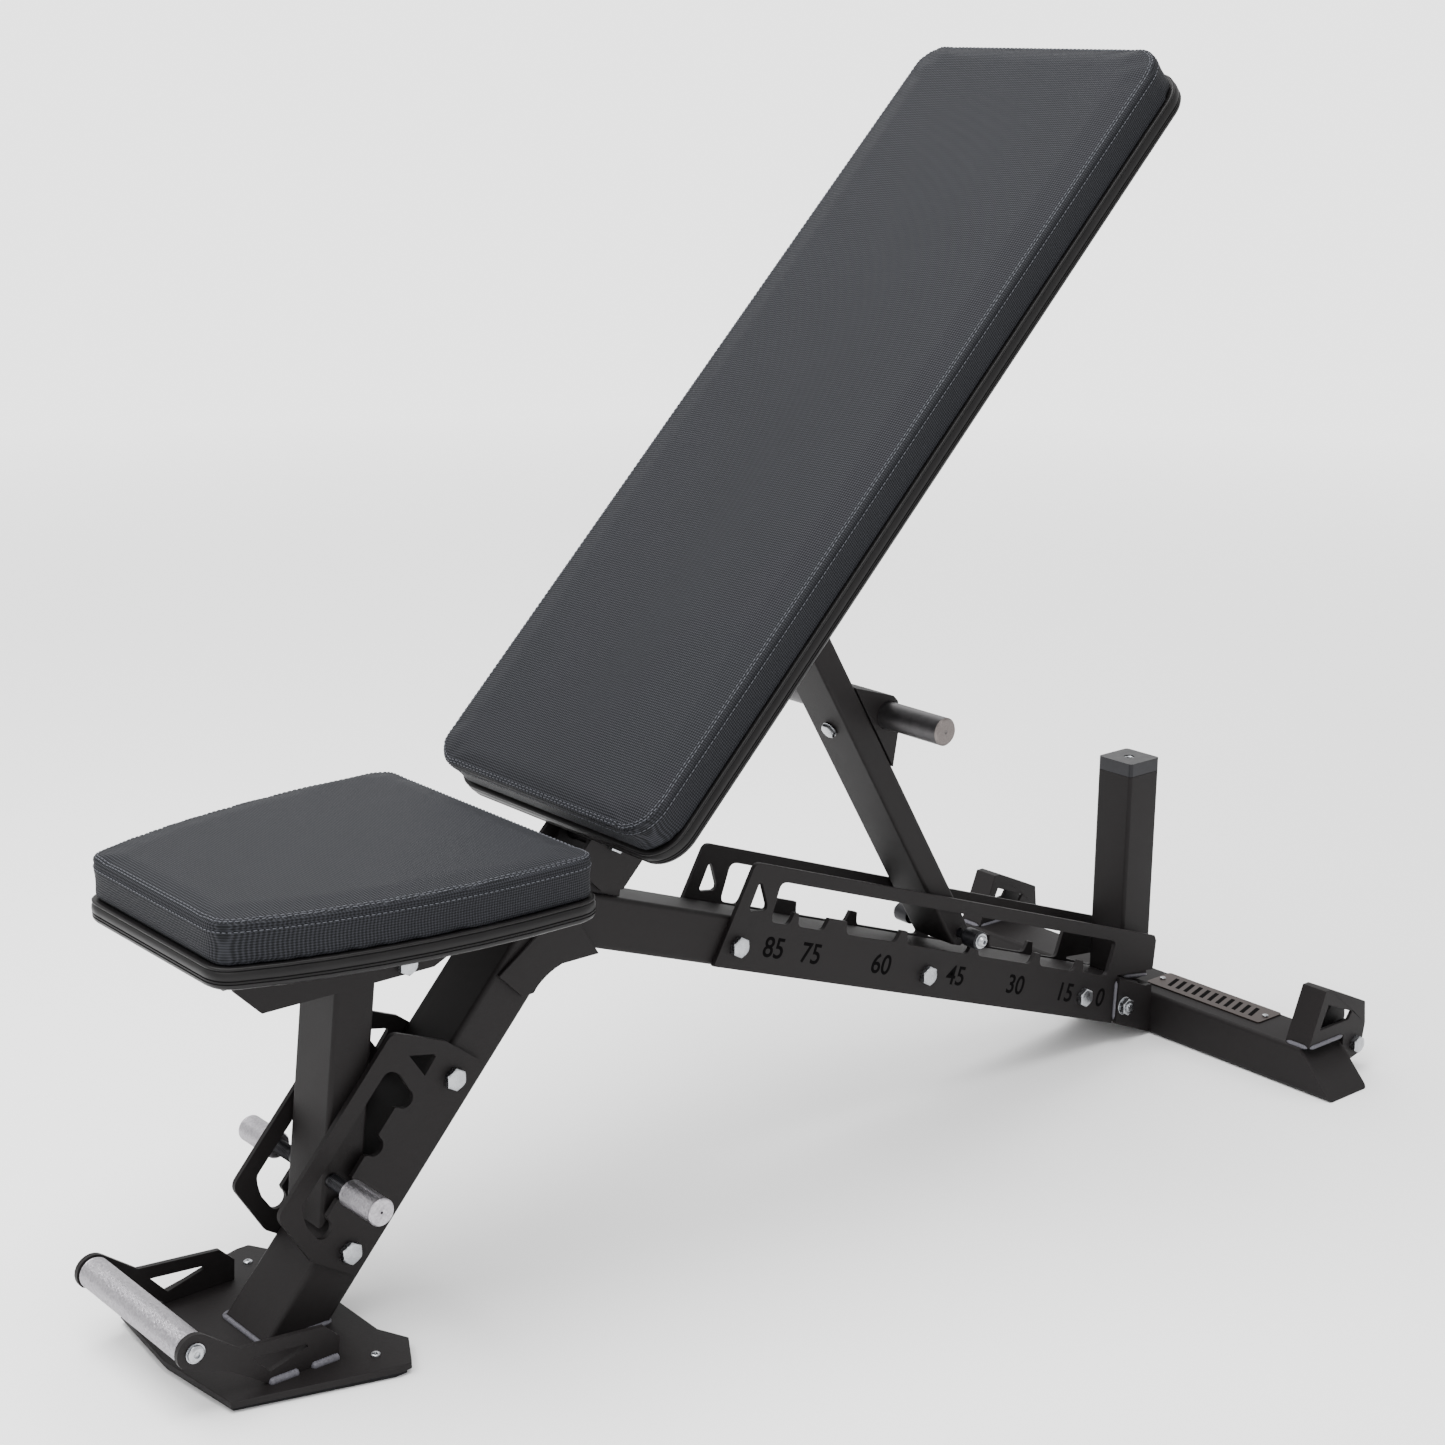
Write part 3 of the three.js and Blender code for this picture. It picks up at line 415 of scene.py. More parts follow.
# %% [markdown]
# ## Working beside a tilted part
# The tubes and pads lie at an angle, so each detail is drawn in the part's own directions: X along it,
# Y across the bench, Z out of its largest face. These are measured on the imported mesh.


# %% The directions and the box of a node
class Lay:
    """The directions a node lies in, and its box measured along them."""

    def __init__(self, node):
        totals = {}
        for face in NODES[node].data.polygons:
            normal = face.normal * face.area
            if abs(face.normal.y) > 0.05:
                continue
            if (normal.z, normal.x) < (0, 0):
                normal = -normal
            key = round(math.degrees(math.atan2(normal.x, normal.z)))
            totals[key] = totals.get(key, Vector()) + normal
        up = max(totals.values(), key=lambda total: total.length).normalized()
        across = Vector((0, 1, 0))
        self.turn = Matrix((across.cross(up), across, up)).transposed().to_4x4()
        self.measure(node)

    def measure(self, node):
        back = self.turn.inverted()
        self.points = [back @ v.co for v in NODES[node].data.vertices]
        self.low = Vector(min(p[i] for p in self.points) for i in range(3))
        self.high = Vector(max(p[i] for p in self.points) for i in range(3))

    def of(self, node):
        """The same directions, with the box of another node."""
        other = object.__new__(Lay)
        other.turn = self.turn
        other.measure(node)
        return other

    def middle(self):
        return (self.low + self.high) / 2


# %% A helper that makes a piece from a shell of points and faces
def body_of_node(node):
    return body_of(NODES[node])[0]


def piece(name, shell, finish, body, turn=None, crease=40):
    """A mesh piece drawn along its own directions, which rides on a body."""
    mesh = bpy.data.meshes.new(name)
    mesh.from_pydata([tuple(p) for p in shell.points], [], shell.faces)
    mesh.validate()
    mesh.polygons.foreach_set("use_smooth", [True] * len(mesh.polygons))
    mesh.set_sharp_from_angle(angle=math.radians(crease))
    mesh.materials.append(finish)
    made = bpy.data.objects.new(name, mesh)
    bpy.context.scene.collection.objects.link(made)
    made.matrix_world = turn or Matrix.Identity(4)
    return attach(made, body)


class Shell:
    """Points and faces that grow ring by ring."""

    def __init__(self):
        self.points, self.faces = [], []

    def lofted(self, rings, closed=False):
        """Skins a row of equal rings, and closes the ends with flat faces unless it is a closed loop."""
        first, count = len(self.points), len(rings[0])
        for ring in rings:
            self.points.extend(ring)
        rows = len(rings)
        for r in range(rows if closed else rows - 1):
            a, b = first + r * count, first + (r + 1) % rows * count
            for k in range(count):
                n = (k + 1) % count
                self.faces.append((a + k, a + n, b + n, b + k))
        if not closed:
            self.faces.append(tuple(reversed(range(first, first + count))))
            last = first + (rows - 1) * count
            self.faces.append(tuple(range(last, last + count)))
        return self


# %% [markdown]
# ## Cushions
# Each pad is a foam block pulled tight in its sewn cover: the top crowns a little between its seams and
# the boxed sides pull in above the edging. A cloth simulation does that. A slightly smaller copy of
# the pad is remeshed evenly, held along its top seam and its base, and blown up by a gentle pressure.
# No point may move more than a few millimetres, as the foam is firm.

# %% The outline of a pad
SEAM_ROUND = 4.5 * MM


def outline_of(lay, step=4 * MM):
    """The pad's outline as evenly spaced points, anticlockwise seen from its face."""
    middle = lay.middle()
    rim = {(round(p.x, 5), round(p.y, 5)) for p in lay.points if p.z > lay.high.z - 1 * MM}
    turned = sorted(rim, key=lambda p: math.atan2(p[1] - middle.y, p[0] - middle.x))
    loop = [Vector(p) for p in turned]
    lengths = [(loop[(i + 1) % len(loop)] - p).length for i, p in enumerate(loop)]
    count = round(sum(lengths) / step)
    spacing, made, i, passed = sum(lengths) / count, [], 0, 0.0
    for k in range(count):
        while passed + lengths[i] < k * spacing - 1e-9:
            passed += lengths[i]
            i += 1
        share = (k * spacing - passed) / lengths[i]
        made.append(loop[i].lerp(loop[(i + 1) % len(loop)], share))
    return made


def outwards(loop):
    """The direction out of the loop at each of its points."""
    found = []
    for i in range(len(loop)):
        way = loop[(i + 2) % len(loop)] - loop[i - 2]
        found.append(Vector((way.y, -way.x)).normalized())
    return found


def offset_loop(loop, out, distance, height):
    return [Vector((p.x + o.x * distance, p.y + o.y * distance, height)) for p, o in zip(loop, out)]


# %% The foam block before it is covered
def block_rings(loop, out, low, high, shrink):
    """Rings from the base of the block up its side and over its rounded seam."""
    rings = [offset_loop(loop, out, -shrink, low)]
    for share in (0.2, 0.4, 0.6, 0.8):
        rings.append(offset_loop(loop, out, -shrink, low + (high - SEAM_ROUND - low) * share))
    for degrees in range(0, 91, 18):
        turn = math.radians(degrees)
        inset = SEAM_ROUND * (1 - math.cos(turn)) + shrink
        rings.append(offset_loop(loop, out, -inset, high - SEAM_ROUND * (1 - math.sin(turn))))
    return rings


# %% Pressure in the cover
VOXEL = 5.5 * MM
FRAMES = 16
PRESSURE = 4


def evenly_remeshed(made):
    remesh = made.modifiers.new("even_mesh", "REMESH")
    remesh.mode, remesh.voxel_size = "VOXEL", VOXEL
    bpy.context.view_layer.update()
    graph = bpy.context.evaluated_depsgraph_get()
    mesh = bpy.data.meshes.new_from_object(made.evaluated_get(graph))
    made.modifiers.clear()
    made.data = mesh


def inflated(made, held, limit):
    """Blows the cover up, and moves each point by no more than the limit."""
    start = [v.co.copy() for v in made.data.vertices]
    group = made.vertex_groups.new(name="held")
    for i, co in enumerate(start):
        group.add([i], held(co), "REPLACE")
    cloth = made.modifiers.new("cover", "CLOTH")
    cloth.settings.use_pressure = True
    cloth.settings.uniform_pressure_force = PRESSURE
    cloth.settings.effector_weights.gravity = 0
    cloth.settings.vertex_group_mass = "held"
    cloth.settings.quality = 4
    cloth.collision_settings.use_collision = False
    cloth.point_cache.frame_start, cloth.point_cache.frame_end = 1, FRAMES
    for moment in range(1, FRAMES + 1):
        bpy.context.scene.frame_set(moment)
    graph = bpy.context.evaluated_depsgraph_get()
    moved = [v.co.copy() for v in made.evaluated_get(graph).data.vertices]
    made.modifiers.clear()
    most = 0
    for vertex, a, b in zip(made.data.vertices, start, moved):
        step = b - a
        most = max(most, step.length)
        if step.length > limit:
            step *= limit / step.length
        vertex.co = a + step
    bpy.context.scene.frame_set(1)
    print(made.name, "swelled by up to", round(most / MM, 1), "mm, kept to", limit / MM)


# %% Build one cushion
ROOM_TO_SWELL = 2.0 * MM


def cushion(name, node, shrink, limit):
    """A covered foam cushion in the place of its packed pad."""
    lay = Lay(node)
    loop = outline_of(lay)
    out = outwards(loop)
    low, high = lay.low.z, lay.high.z
    rings = block_rings(loop, out, low, high - ROOM_TO_SWELL, shrink)
    block = Shell().lofted(rings)
    made = piece(name, block, woven_cover, body_of_node(node), lay.turn)
    evenly_remeshed(made)
    seam = high - ROOM_TO_SWELL - SEAM_ROUND

    def held(co):
        if co.z < low + 4 * MM:
            return 1.0
        return 0.75 if abs(co.z - seam) < 3 * MM else 0.0

    inflated(made, held, limit)
    made.data.materials.clear()
    made.data.materials.append(woven_cover)
    smooth = made.modifiers.new("finer", "SUBSURF")
    smooth.levels = smooth.render_levels = 1
    graph = bpy.context.evaluated_depsgraph_get()
    made.data = bpy.data.meshes.new_from_object(made.evaluated_get(graph))
    made.modifiers.clear()
    made.data.polygons.foreach_set("use_smooth", [True] * len(made.data.polygons))
    sink_seams(made, lay, loop)
    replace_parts(made, node)
    print(name, len(made.data.vertices), "points")
    return made, lay, loop, out


SIDE_SEAM_DROP = 10 * MM


def sink_seams(made, lay, loop):
    """Pulls the boxed sides in and sinks the seam that runs round them."""
    low, high = lay.low.z, lay.high.z
    for vertex, normal in zip(made.data.vertices, [v.normal.copy() for v in made.data.vertices]):
        height = (vertex.co.z - low) / (high - low)
        if abs(normal.z) > 0.75 or not 0 < height < 1:
            continue
        hollow = math.sin(math.pi * min(1, height / 0.75)) if height < 0.75 else 0
        groove = math.exp(-(((vertex.co.z - (high - SIDE_SEAM_DROP)) / (1.8 * MM)) ** 2))
        sideways = Vector((normal.x, normal.y, 0))
        vertex.co -= sideways * (1.6 * MM * hollow + 1.1 * MM * groove)


SHRINK, MOST_SWELL = 1.2 * MM, 3 * MM
back_cushion = cushion("back_cushion", "back_pad", SHRINK, MOST_SWELL)
seat_cushion = cushion("seat_cushion", "seat_pad", SHRINK, MOST_SWELL)

# %% [markdown]
# ## Stitches
# Three rows of stitches run round each pad: one on its face, one on the rounded edge, and one on the side
# below it. Each stitch is a short bead of thread that dips in at both ends, laid on the cushion by
# looking for the nearest point of its surface.

# %% Sew the pads
STITCH, STITCH_GAP, THREAD_RADIUS = 3.8 * MM, 1.2 * MM, 0.42 * MM
FACES_OF_A_STITCH = 3 * 6 + 2


def stitched_row(shell, surface_tree, loop):
    """Beads of thread along a closed loop, on the surface that the tree finds."""
    total = len(loop)
    spacing = (loop[1] - loop[0]).length
    every = (STITCH + STITCH_GAP) / spacing
    for k in range(int(total / every)):
        ends = []
        for at in (k * every, k * every + STITCH / spacing):
            i, share = int(at) % total, at % 1
            ends.append(loop[i].lerp(loop[(i + 1) % total], share))
        (a, normal, *_), (b, *_) = (surface_tree.find_nearest(end) for end in ends)
        way = (b - a).normalized()
        side = way.cross(normal).normalized()
        rings = []
        for share, size, lift in ((0, 0.3, -0.5), (0.2, 1, 0.5), (0.8, 1, 0.5), (1, 0.3, -0.5)):
            middle = a.lerp(b, share) + normal * THREAD_RADIUS * lift
            rings.append(
                [
                    middle
                    + (side * math.cos(turn) + normal * math.sin(turn)) * THREAD_RADIUS * size
                    for turn in (math.tau * n / 6 for n in range(6))
                ]
            )
        shell.lofted(rings)


def sew(name, cushion_made, node):
    made, lay, loop, out = cushion_made
    graph = bpy.context.evaluated_depsgraph_get()
    tree = BVHTree.FromObject(made, graph)
    shell = Shell()
    high = lay.high.z
    rows = (
        (SEAM_ROUND + 1.2 * MM, high),
        (SEAM_ROUND - 2.2 * MM, high),
        (0, high - SIDE_SEAM_DROP - 1.5 * MM),
    )
    for inset, height in rows:
        stitched_row(shell, tree, offset_loop(loop, out, -inset, height))
    piece(name, shell, sewing_thread, body_of_node(node), lay.turn, 80)
    print(name, len(shell.faces) // FACES_OF_A_STITCH, "stitches")


sew("back_stitches", back_cushion, "back_pad")
sew("seat_stitches", seat_cushion, "seat_pad")

# %% [markdown]
# ## Edging
# The edging is one extrusion bent round the board: a thin welt under the cover, a rounded band, two fine
# grooves, and a lip that turns in under the board. Its profile is drawn once and swept round the pad's
# outline. A sheet of the same black vinyl closes the underside, behind the dust cover.

# %% Sweep the edging round a board
# Each pair is a distance out of the outline and a height below the top of the board, in millimetres.
EDGING_PROFILE = (
    (-6, 1.2), (-1.6, 1.6), (0.0, 1.5), (0.9, 0.7), (0.9, -0.3), (0.2, -1.1), (-0.4, -1.6), (0.5, -2.4),
    (1.3, -4.2), (1.5, -6.4), (1.2, -8.6), (0.0, -9.1), (0.0, -9.7), (1.1, -10.1), (1.2, -11.1),
    (0.1, -11.6), (0.1, -12.2), (1.1, -12.7), (0.9, -14.2), (-0.2, -16.0), (-2.4, -17.4), (-6.0, -18.0),
)


def edging(name, node, cushion_made):
    _, pad_lay, loop, out = cushion_made
    lay = pad_lay.of(node)
    top = lay.high.z
    rings = [offset_loop(loop, out, x * MM, top + z * MM) for x, z in EDGING_PROFILE]
    rings.append(offset_loop(loop, out, -14 * MM, lay.low.z))
    shell = Shell().lofted(rings)
    shell.faces = [tuple(reversed(face)) for face in shell.faces]
    body = body_of_node(node)
    made = piece(name, shell, edging_pvc, body, lay.turn, 50)
    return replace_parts(made, node)


edging("back_edging", "back_board", back_cushion)
edging("seat_edging", "seat_board", seat_cushion)

# %% [markdown]
# ## Bolts and nuts
# A hexagon bolt is forged, and its head is then turned, so a cone trims the six corners. The same
# outline makes a nut. Each ring of the head takes the smaller of the hexagon and a circle, which draws
# the curved chamfer by itself. The end of the thread is a row of fine ridges.

# %% Rings for turned and hexagonal shapes
SIDES = 48


def ring(radius, z, flats=None):
    """A circle, or the part of it that lies in a hexagon of this distance across flats."""
    found = []
    for k in range(SIDES):
        turn = math.tau * k / SIDES
        r = radius
        if flats:
            r = min(r, flats / 2 / math.cos((turn + math.pi / 6) % (math.pi / 3) - math.pi / 6))
        found.append(Vector((r * math.cos(turn), r * math.sin(turn), z)))
    return found


def hexagon_rings(flats, height, chamfer_bottom=False):
    """A head from z = 0 up, trimmed by a cone at the top, and at the bottom if that is asked for."""
    inner, corner = flats / 2, flats / math.sqrt(3)
    small = inner * 0.9
    bottom = [(small, 0), (inner, 0.18), (corner, 0.9)] if chamfer_bottom else [(corner, 0)]
    top = ((corner, 1.0), (inner * 1.06, 0.55), (inner * 0.98, 0.2), (small, 0))
    rings = [ring(radius, rise * MM, flats) for radius, rise in bottom]
    return rings + [ring(radius, height - drop * MM, flats) for radius, drop in top]


def thread_rings(radius, start, end, pitch=1.5 * MM):
    """The ridges of a thread, which ends in a small chamfer."""
    root, rings, z = radius - 0.9 * MM, [], start
    while z + pitch < end - 0.6 * MM:
        rings += [ring(root, z), ring(radius, z + pitch * 0.35), ring(radius, z + pitch * 0.6)]
        z += pitch
    return rings + [ring(root, z), ring(radius - 1.2 * MM, end)]


def facing_to(place_at, direction):
    """A matrix that turns +Z into a direction."""
    return Matrix.Translation(place_at) @ direction.to_track_quat("Z", "Y").to_matrix().to_4x4()


def moved(rings, matrix):
    return [[matrix @ p for p in one] for one in rings]


# %% Cross bolts
CRISP = 28  # degrees, above which an edge of a fastener stays sharp
HEAD, NUT, TAIL, WASHER = 6.5 * MM, 8 * MM, 3 * MM, 1.3 * MM
FACE = 0.4 * MM  # the round bearing face under a head


def washer(shell, flats, matrix):
    """A round washer with a small rounded rim."""
    rim, edge = flats * 0.6, 0.3 * MM
    rings = [ring(flats * 0.56, -0.1 * MM), ring(rim, edge), ring(rim, WASHER - edge)]
    shell.lofted(moved(rings + [ring(flats * 0.57, WASHER)], matrix))


def raised(rings, height):
    return [[p + Vector((0, 0, height)) for p in one] for one in rings]


def zinc_detail(shell, node, turn=None):
    """The detailed fastener that takes the place of a packed one."""
    body = body_of_node(node)
    made = piece(node + "_detail", shell, zinc_plate, body, turn, CRISP)
    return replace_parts(made, node)


def cross_bolt(node, nut_near=False):
    """A bolt through the bench: a head, a shank, a nut on a washer, and the end of its thread."""
    low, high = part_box(node)
    centre = (low + high) / 2
    flats = min(high.z - low.z, high.x - low.x)
    shank = flats * 0.29
    head_way = Vector((0, 1 if nut_near else -1, 0))
    head_face = (high.y - HEAD) if nut_near else (low.y + HEAD)
    nut_face = (low.y + NUT + TAIL) if nut_near else (high.y - NUT - TAIL)
    at_head = facing_to(Vector((centre.x, head_face, centre.z)), head_way)
    at_nut = facing_to(Vector((centre.x, nut_face, centre.z)), -head_way)
    reach = abs(nut_face - head_face)
    shell = Shell()
    shell.lofted(moved([ring(flats * 0.47, 0), ring(flats * 0.48, 0.5 * MM)], at_head))
    shell.lofted(moved(raised(hexagon_rings(flats, HEAD - FACE), FACE), at_head))
    washer(shell, flats, at_nut)
    shell.lofted(moved(raised(hexagon_rings(flats, NUT - WASHER, True), WASHER), at_nut))
    rod = [ring(shank, -reach), ring(shank, 0)] + thread_rings(shank, 0.1 * MM, NUT + TAIL)
    shell.lofted(moved(rod, at_nut))
    return zinc_detail(shell, node)


CROSS_BOLTS = [
    name for name in NODES
    if SLOT_OF[name] == "zinc"
    and not name.startswith(("back_bolt", "strut_bolt", "handle_screw"))
]
for name in CROSS_BOLTS:
    cross_bolt(name, nut_near=name == "saddle_bolt")
print(len(CROSS_BOLTS), "cross bolts")


# %% Bolts that stand on a tilted face
def face_bolt(node, lay):
    """A bolt screwed in along the part's Z, with its head on the lower side."""
    here = lay.of(node)
    centre = here.middle()
    flats = (here.high.y - here.low.y) * 0.95
    head = 5.2 * MM
    at = facing_to(Vector((centre.x, centre.y, here.low.z + head)), Vector((0, 0, -1)))
    shell = Shell()
    washer(shell, flats, at)
    shell.lofted(moved(raised(hexagon_rings(flats, head - WASHER), WASHER), at))
    depth = here.high.z - here.low.z - head
    shell.lofted(moved([ring(4 * MM, -depth), ring(4 * MM, 0)], at))
    return zinc_detail(shell, node, here.turn)


back_lay = back_cushion[1]
strut_lay = Lay("strut_tube")
for name in NODES:
    if name.startswith("back_bolt"):
        face_bolt(name, back_lay)
face_bolt("strut_bolt", strut_lay)


# %% [markdown]
# ## Button-head and socket screws
# The ends of the foot grip and of the strut's pin show round screws with a hexagon socket. The dome is
# a quarter of an ellipse turned round, and the socket a hexagon ring that drops into it.


# %% Socket screws
def socket_rings(radius, height, socket, depth, domed):
    rings = [ring(radius, 0), ring(radius, height * 0.3)]
    shares = (20, 40, 60, 75) if domed else (60, 80)
    for degrees in shares:
        turn = math.radians(degrees)
        rings.append(
            ring(
                socket * 0.62 + (radius - socket * 0.62) * math.cos(turn),
                height * (0.3 + 0.7 * math.sin(turn)),
            )
        )
    rings.append(ring(socket * 0.62, height))
    rings.append(ring(socket, height - 0.3 * MM, socket))
    rings.append(ring(socket, height - depth, socket))
    rings.append(ring(socket * 0.15, height - depth - 0.5 * MM))
    return rings


def grip_screw(node):
    low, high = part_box(node)
    centre, sign = (low + high) / 2, 1 if high.y > 0 else -1
    head, outer = 5 * MM, high.y if sign > 0 else low.y
    at = facing_to(Vector((centre.x, outer - sign * head, centre.z)), Vector((0, sign, 0)))
    shell = Shell()
    shell.lofted(moved([ring(8.5 * MM, 0), ring(8.7 * MM, 0.4 * MM), ring(8.7 * MM, 1.4 * MM)], at))
    dome = socket_rings(7.6 * MM, head - 1.4 * MM, 5 * MM, 2 * MM, True)
    shell.lofted(moved(raised(dome, 1.4 * MM), at))
    shell.lofted(moved([ring(5 * MM, -20 * MM), ring(5 * MM, 0)], at))
    return zinc_detail(shell, node)


grip_screw("handle_screw_near")
grip_screw("handle_screw_far")

low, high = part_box("strut_pin")
pin_screws = Shell()
for sign, end in ((-1, low.y), (1, high.y)):
    at = facing_to(Vector(((low.x + high.x) / 2, end, (low.z + high.z) / 2)), Vector((0, sign, 0)))
    pin_screws.lofted(moved([ring(8.2 * MM, 0), ring(8.2 * MM, 1 * MM), ring(7.9 * MM, 1.3 * MM)], at))
    cap = socket_rings(6 * MM, 4.5 * MM, 4 * MM, 2.6 * MM, False)
    pin_screws.lofted(moved(raised(cap, 1.3 * MM), at))
piece("strut_pin_screws", pin_screws, zinc_plate, "strut", crease=CRISP)

# %% [markdown]
# ## Knurled grips
# A knurl is two sets of slanted ridges that cross and leave rows of small diamonds. Every point of a fine
# grid round the bar is lifted by the product of two waves. The real knurl is about 1 mm fine, and is
# drawn at 2.4 mm so that it shows. The ends are chamfered and bored for their screws.

# %% Knurled bars
KNURL_PITCH, KNURL_DEPTH = 2.4 * MM, 0.7 * MM


def knurled_bar(node, lay, finish, bore, chamfer=1.5 * MM, plain=0.0, depth=KNURL_DEPTH):
    """A bar along Y in the place of a node, with diamonds between its plain, chamfered ends."""
    here = lay.of(node)
    centre, length = here.middle(), here.high.y - here.low.y
    radius = (here.high.z - here.low.z) / 2
    diamonds = round(math.tau * radius / KNURL_PITCH)
    around = diamonds * 4
    rows = round((length - 2 * (chamfer + plain)) / (KNURL_PITCH / 4))

    def point(k, r, y):
        turn = math.tau * k / around
        return Vector((centre.x + r * math.sin(turn), here.low.y + y, centre.z + r * math.cos(turn)))

    def circle(r, y):
        return [point(k, r, y) for k in range(around)]

    start, rim, mouth = chamfer + plain, radius - 0.1 * MM, bore + 0.4 * MM
    rings = [circle(bore, 3 * MM), circle(bore, 0.3 * MM), circle(mouth, 0)]
    rings += [circle(radius - chamfer, 0), circle(rim, chamfer)]
    rings += [circle(rim, start)] if plain else []
    for row in range(1, rows):
        y = start + (length - 2 * start) * row / rows
        line = []
        for k in range(around):
            a, b = math.tau * (k / 4 + row / 4), math.tau * (k / 4 - row / 4)
            lift = 0.5 + 0.25 * (math.cos(a) + math.cos(b))
            line.append(point(k, radius - depth * (1 - lift), y))
        rings.append(line)
    rings += [circle(rim, length - start)] if plain else []
    rings += [circle(rim, length - chamfer), circle(radius - chamfer, length)]
    rings += [circle(mouth, length), circle(bore, length - 0.3 * MM), circle(bore, length - 3 * MM)]
    shell, body = Shell().lofted(rings), body_of_node(node)
    made = piece(node + "_knurl", shell, finish, body, here.turn, 38)
    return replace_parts(made, node)


post_lay = Lay("seat_post")
leg_lay = Lay("leg_tube")
knurled_bar("foot_grip", leg_lay, knurled_steel, bore=5 * MM)
for side in ("near", "far"):
    knurled_bar(
        f"seat_grip_{side}",
        post_lay,
        knurled_steel,
        bore=1.2 * MM,
        chamfer=1.2 * MM,
        plain=1.5 * MM,
    )

# The pin between the post and each grip is threaded, so that a grip screws on to it.
pin = post_lay.of("seat_pin")
pin_radius = (pin.high.z - pin.low.z) / 2
post_side = post_lay.of("seat_post").high.y
grip_start = post_lay.of("seat_grip_far").low.y
PIN_THREAD = 2 * MM
pin_threads = Shell()
for sign in (-1, 1):
    start = Vector((pin.middle().x, sign * (post_side + 3 * MM), pin.middle().z))
    length = grip_start - post_side - 4 * MM
    profile = [ring(pin_radius - 0.1 * MM, 0)]
    z = 0.6 * MM
    while z + PIN_THREAD < length:
        profile += [ring(pin_radius + 0.7 * MM, z), ring(pin_radius + 0.1 * MM, z + PIN_THREAD / 2)]
        z += PIN_THREAD
    pin_threads.lofted(moved(profile, facing_to(start, Vector((0, sign, 0)))))
turn = post_lay.turn
piece("seat_pin_threads", pin_threads, black_oxide, "seat_post", turn, 20)

# %% [markdown]
# The bar on the strut is smoother: a turned black bar whose ends are faced after blackening, so that a
# bright chamfer rings each end face, with the small dimple of the lathe's centre in the middle.

# %% The strut's handle bar
knurled_bar(
    "strut_handle_bar",
    strut_lay,
    turned_black,
    bore=1.2 * MM,
    chamfer=1.8 * MM,
    depth=0.12 * MM,
)
bar_lay = strut_lay.of("strut_handle_bar")
bar_radius = (bar_lay.high.z - bar_lay.low.z) / 2
faced = Shell()
for sign, end in ((-1, bar_lay.low.y), (1, bar_lay.high.y)):
    at = facing_to(Vector((bar_lay.middle().x, end, bar_lay.middle().z)), Vector((0, sign, 0)))
    profile = (
        (bar_radius - 0.05 * MM, -1.9 * MM),
        (bar_radius + 0.05 * MM, -1.7 * MM),
        (bar_radius - 1.6 * MM, 0.12 * MM),
        (2 * MM, 0.12 * MM),
        (0.4 * MM, -0.8 * MM),
    )
    faced.lofted(moved([ring(r, z) for r, z in profile], at))
piece("strut_bar_ends", faced, faced_steel, "strut", strut_lay.turn, 20)

# %% [markdown]
# ## Weld beads
# Where two pieces of steel meet, the welder leaves a bead: a round ridge with a ripple every few
# millimetres. It is a tube along the joint whose radius swells and shrinks, sunk halfway into both parts.


# %% Lay the beads
def bead(shell, start, end, radius=2.6 * MM, ripple=2.4 * MM, blunt=1.0):
    """One straight bead between two points. A blunt one keeps its width nearly to its ends."""
    way = end - start
    steps = max(4, round(way.length / (ripple / 3)))
    side = way.normalized().orthogonal().normalized()
    other = way.normalized().cross(side)
    rings = []
    for n in range(steps + 1):
        share = n / steps
        close = min(share, 1 - share) * way.length * blunt / (2 * radius)
        close = min(1.0, math.sqrt(max(0.04, close)))
        size = radius * close * (0.9 + 0.14 * abs(math.sin(math.pi * share * way.length / ripple)))
        middle = start.lerp(end, share)
        turns = (math.tau * k / 10 for k in range(10))
        rings.append([middle + (side * math.cos(a) + other * math.sin(a)) * size for a in turns])
    shell.lofted(rings)


frame_welds = Shell()
plate_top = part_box("base_plate")[1].z


def frame_bead(start, end, radius, blunt=1.0):
    bead(frame_welds, Vector(start), Vector(end), radius, blunt=blunt)


# The two feet of each grip cheek, welded outside.
for side in ("near", "far"):
    low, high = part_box(f"handle_cheek_{side}")
    outside = low.y if side == "near" else high.y
    foot = [v.co.x for v in NODES[f"handle_cheek_{side}"].data.vertices if v.co.z < plate_top + 1 * MM]
    first, last = min(foot), max(foot)
    reach = last - first
    z = plate_top + 1 * MM
    for a, b in ((0.0, 0.42), (0.6, 1.0)):
        frame_bead((first + reach * a, outside, z), (first + reach * b, outside, z), 4 * MM, 4.0)

# The leg's foot, all round.
foot = [v.co for v in NODES["leg_tube"].data.vertices if v.co.z < plate_top + 2 * MM]
x0, x1 = min(p.x for p in foot), max(p.x for p in foot)
y0, y1 = min(p.y for p in foot), max(p.y for p in foot)
z = plate_top + 0.6 * MM
for a, b in (
    ((x0, y0), (x1, y0)),
    ((x0, y1), (x1, y1)),
    ((x0, y0), (x0, y1)),
    ((x1, y0), (x1, y1)),
):
    frame_bead((*a, z), (*b, z), 2.4 * MM)

# The wheel brackets on the cross tube.
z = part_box("rear_cross_tube")[1].z + 0.5 * MM
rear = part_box("rear_cross_tube")[1].x
for side in ("near", "far"):
    low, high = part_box(f"wheel_bracket_{side}")
    for y in (low.y, high.y):
        frame_bead((low.x + 2 * MM, y, z), (rear - 2 * MM, y, z), 2.4 * MM)
    frame_bead((low.x, low.y + 2 * MM, z), (low.x, high.y - 2 * MM, z), 2.4 * MM)

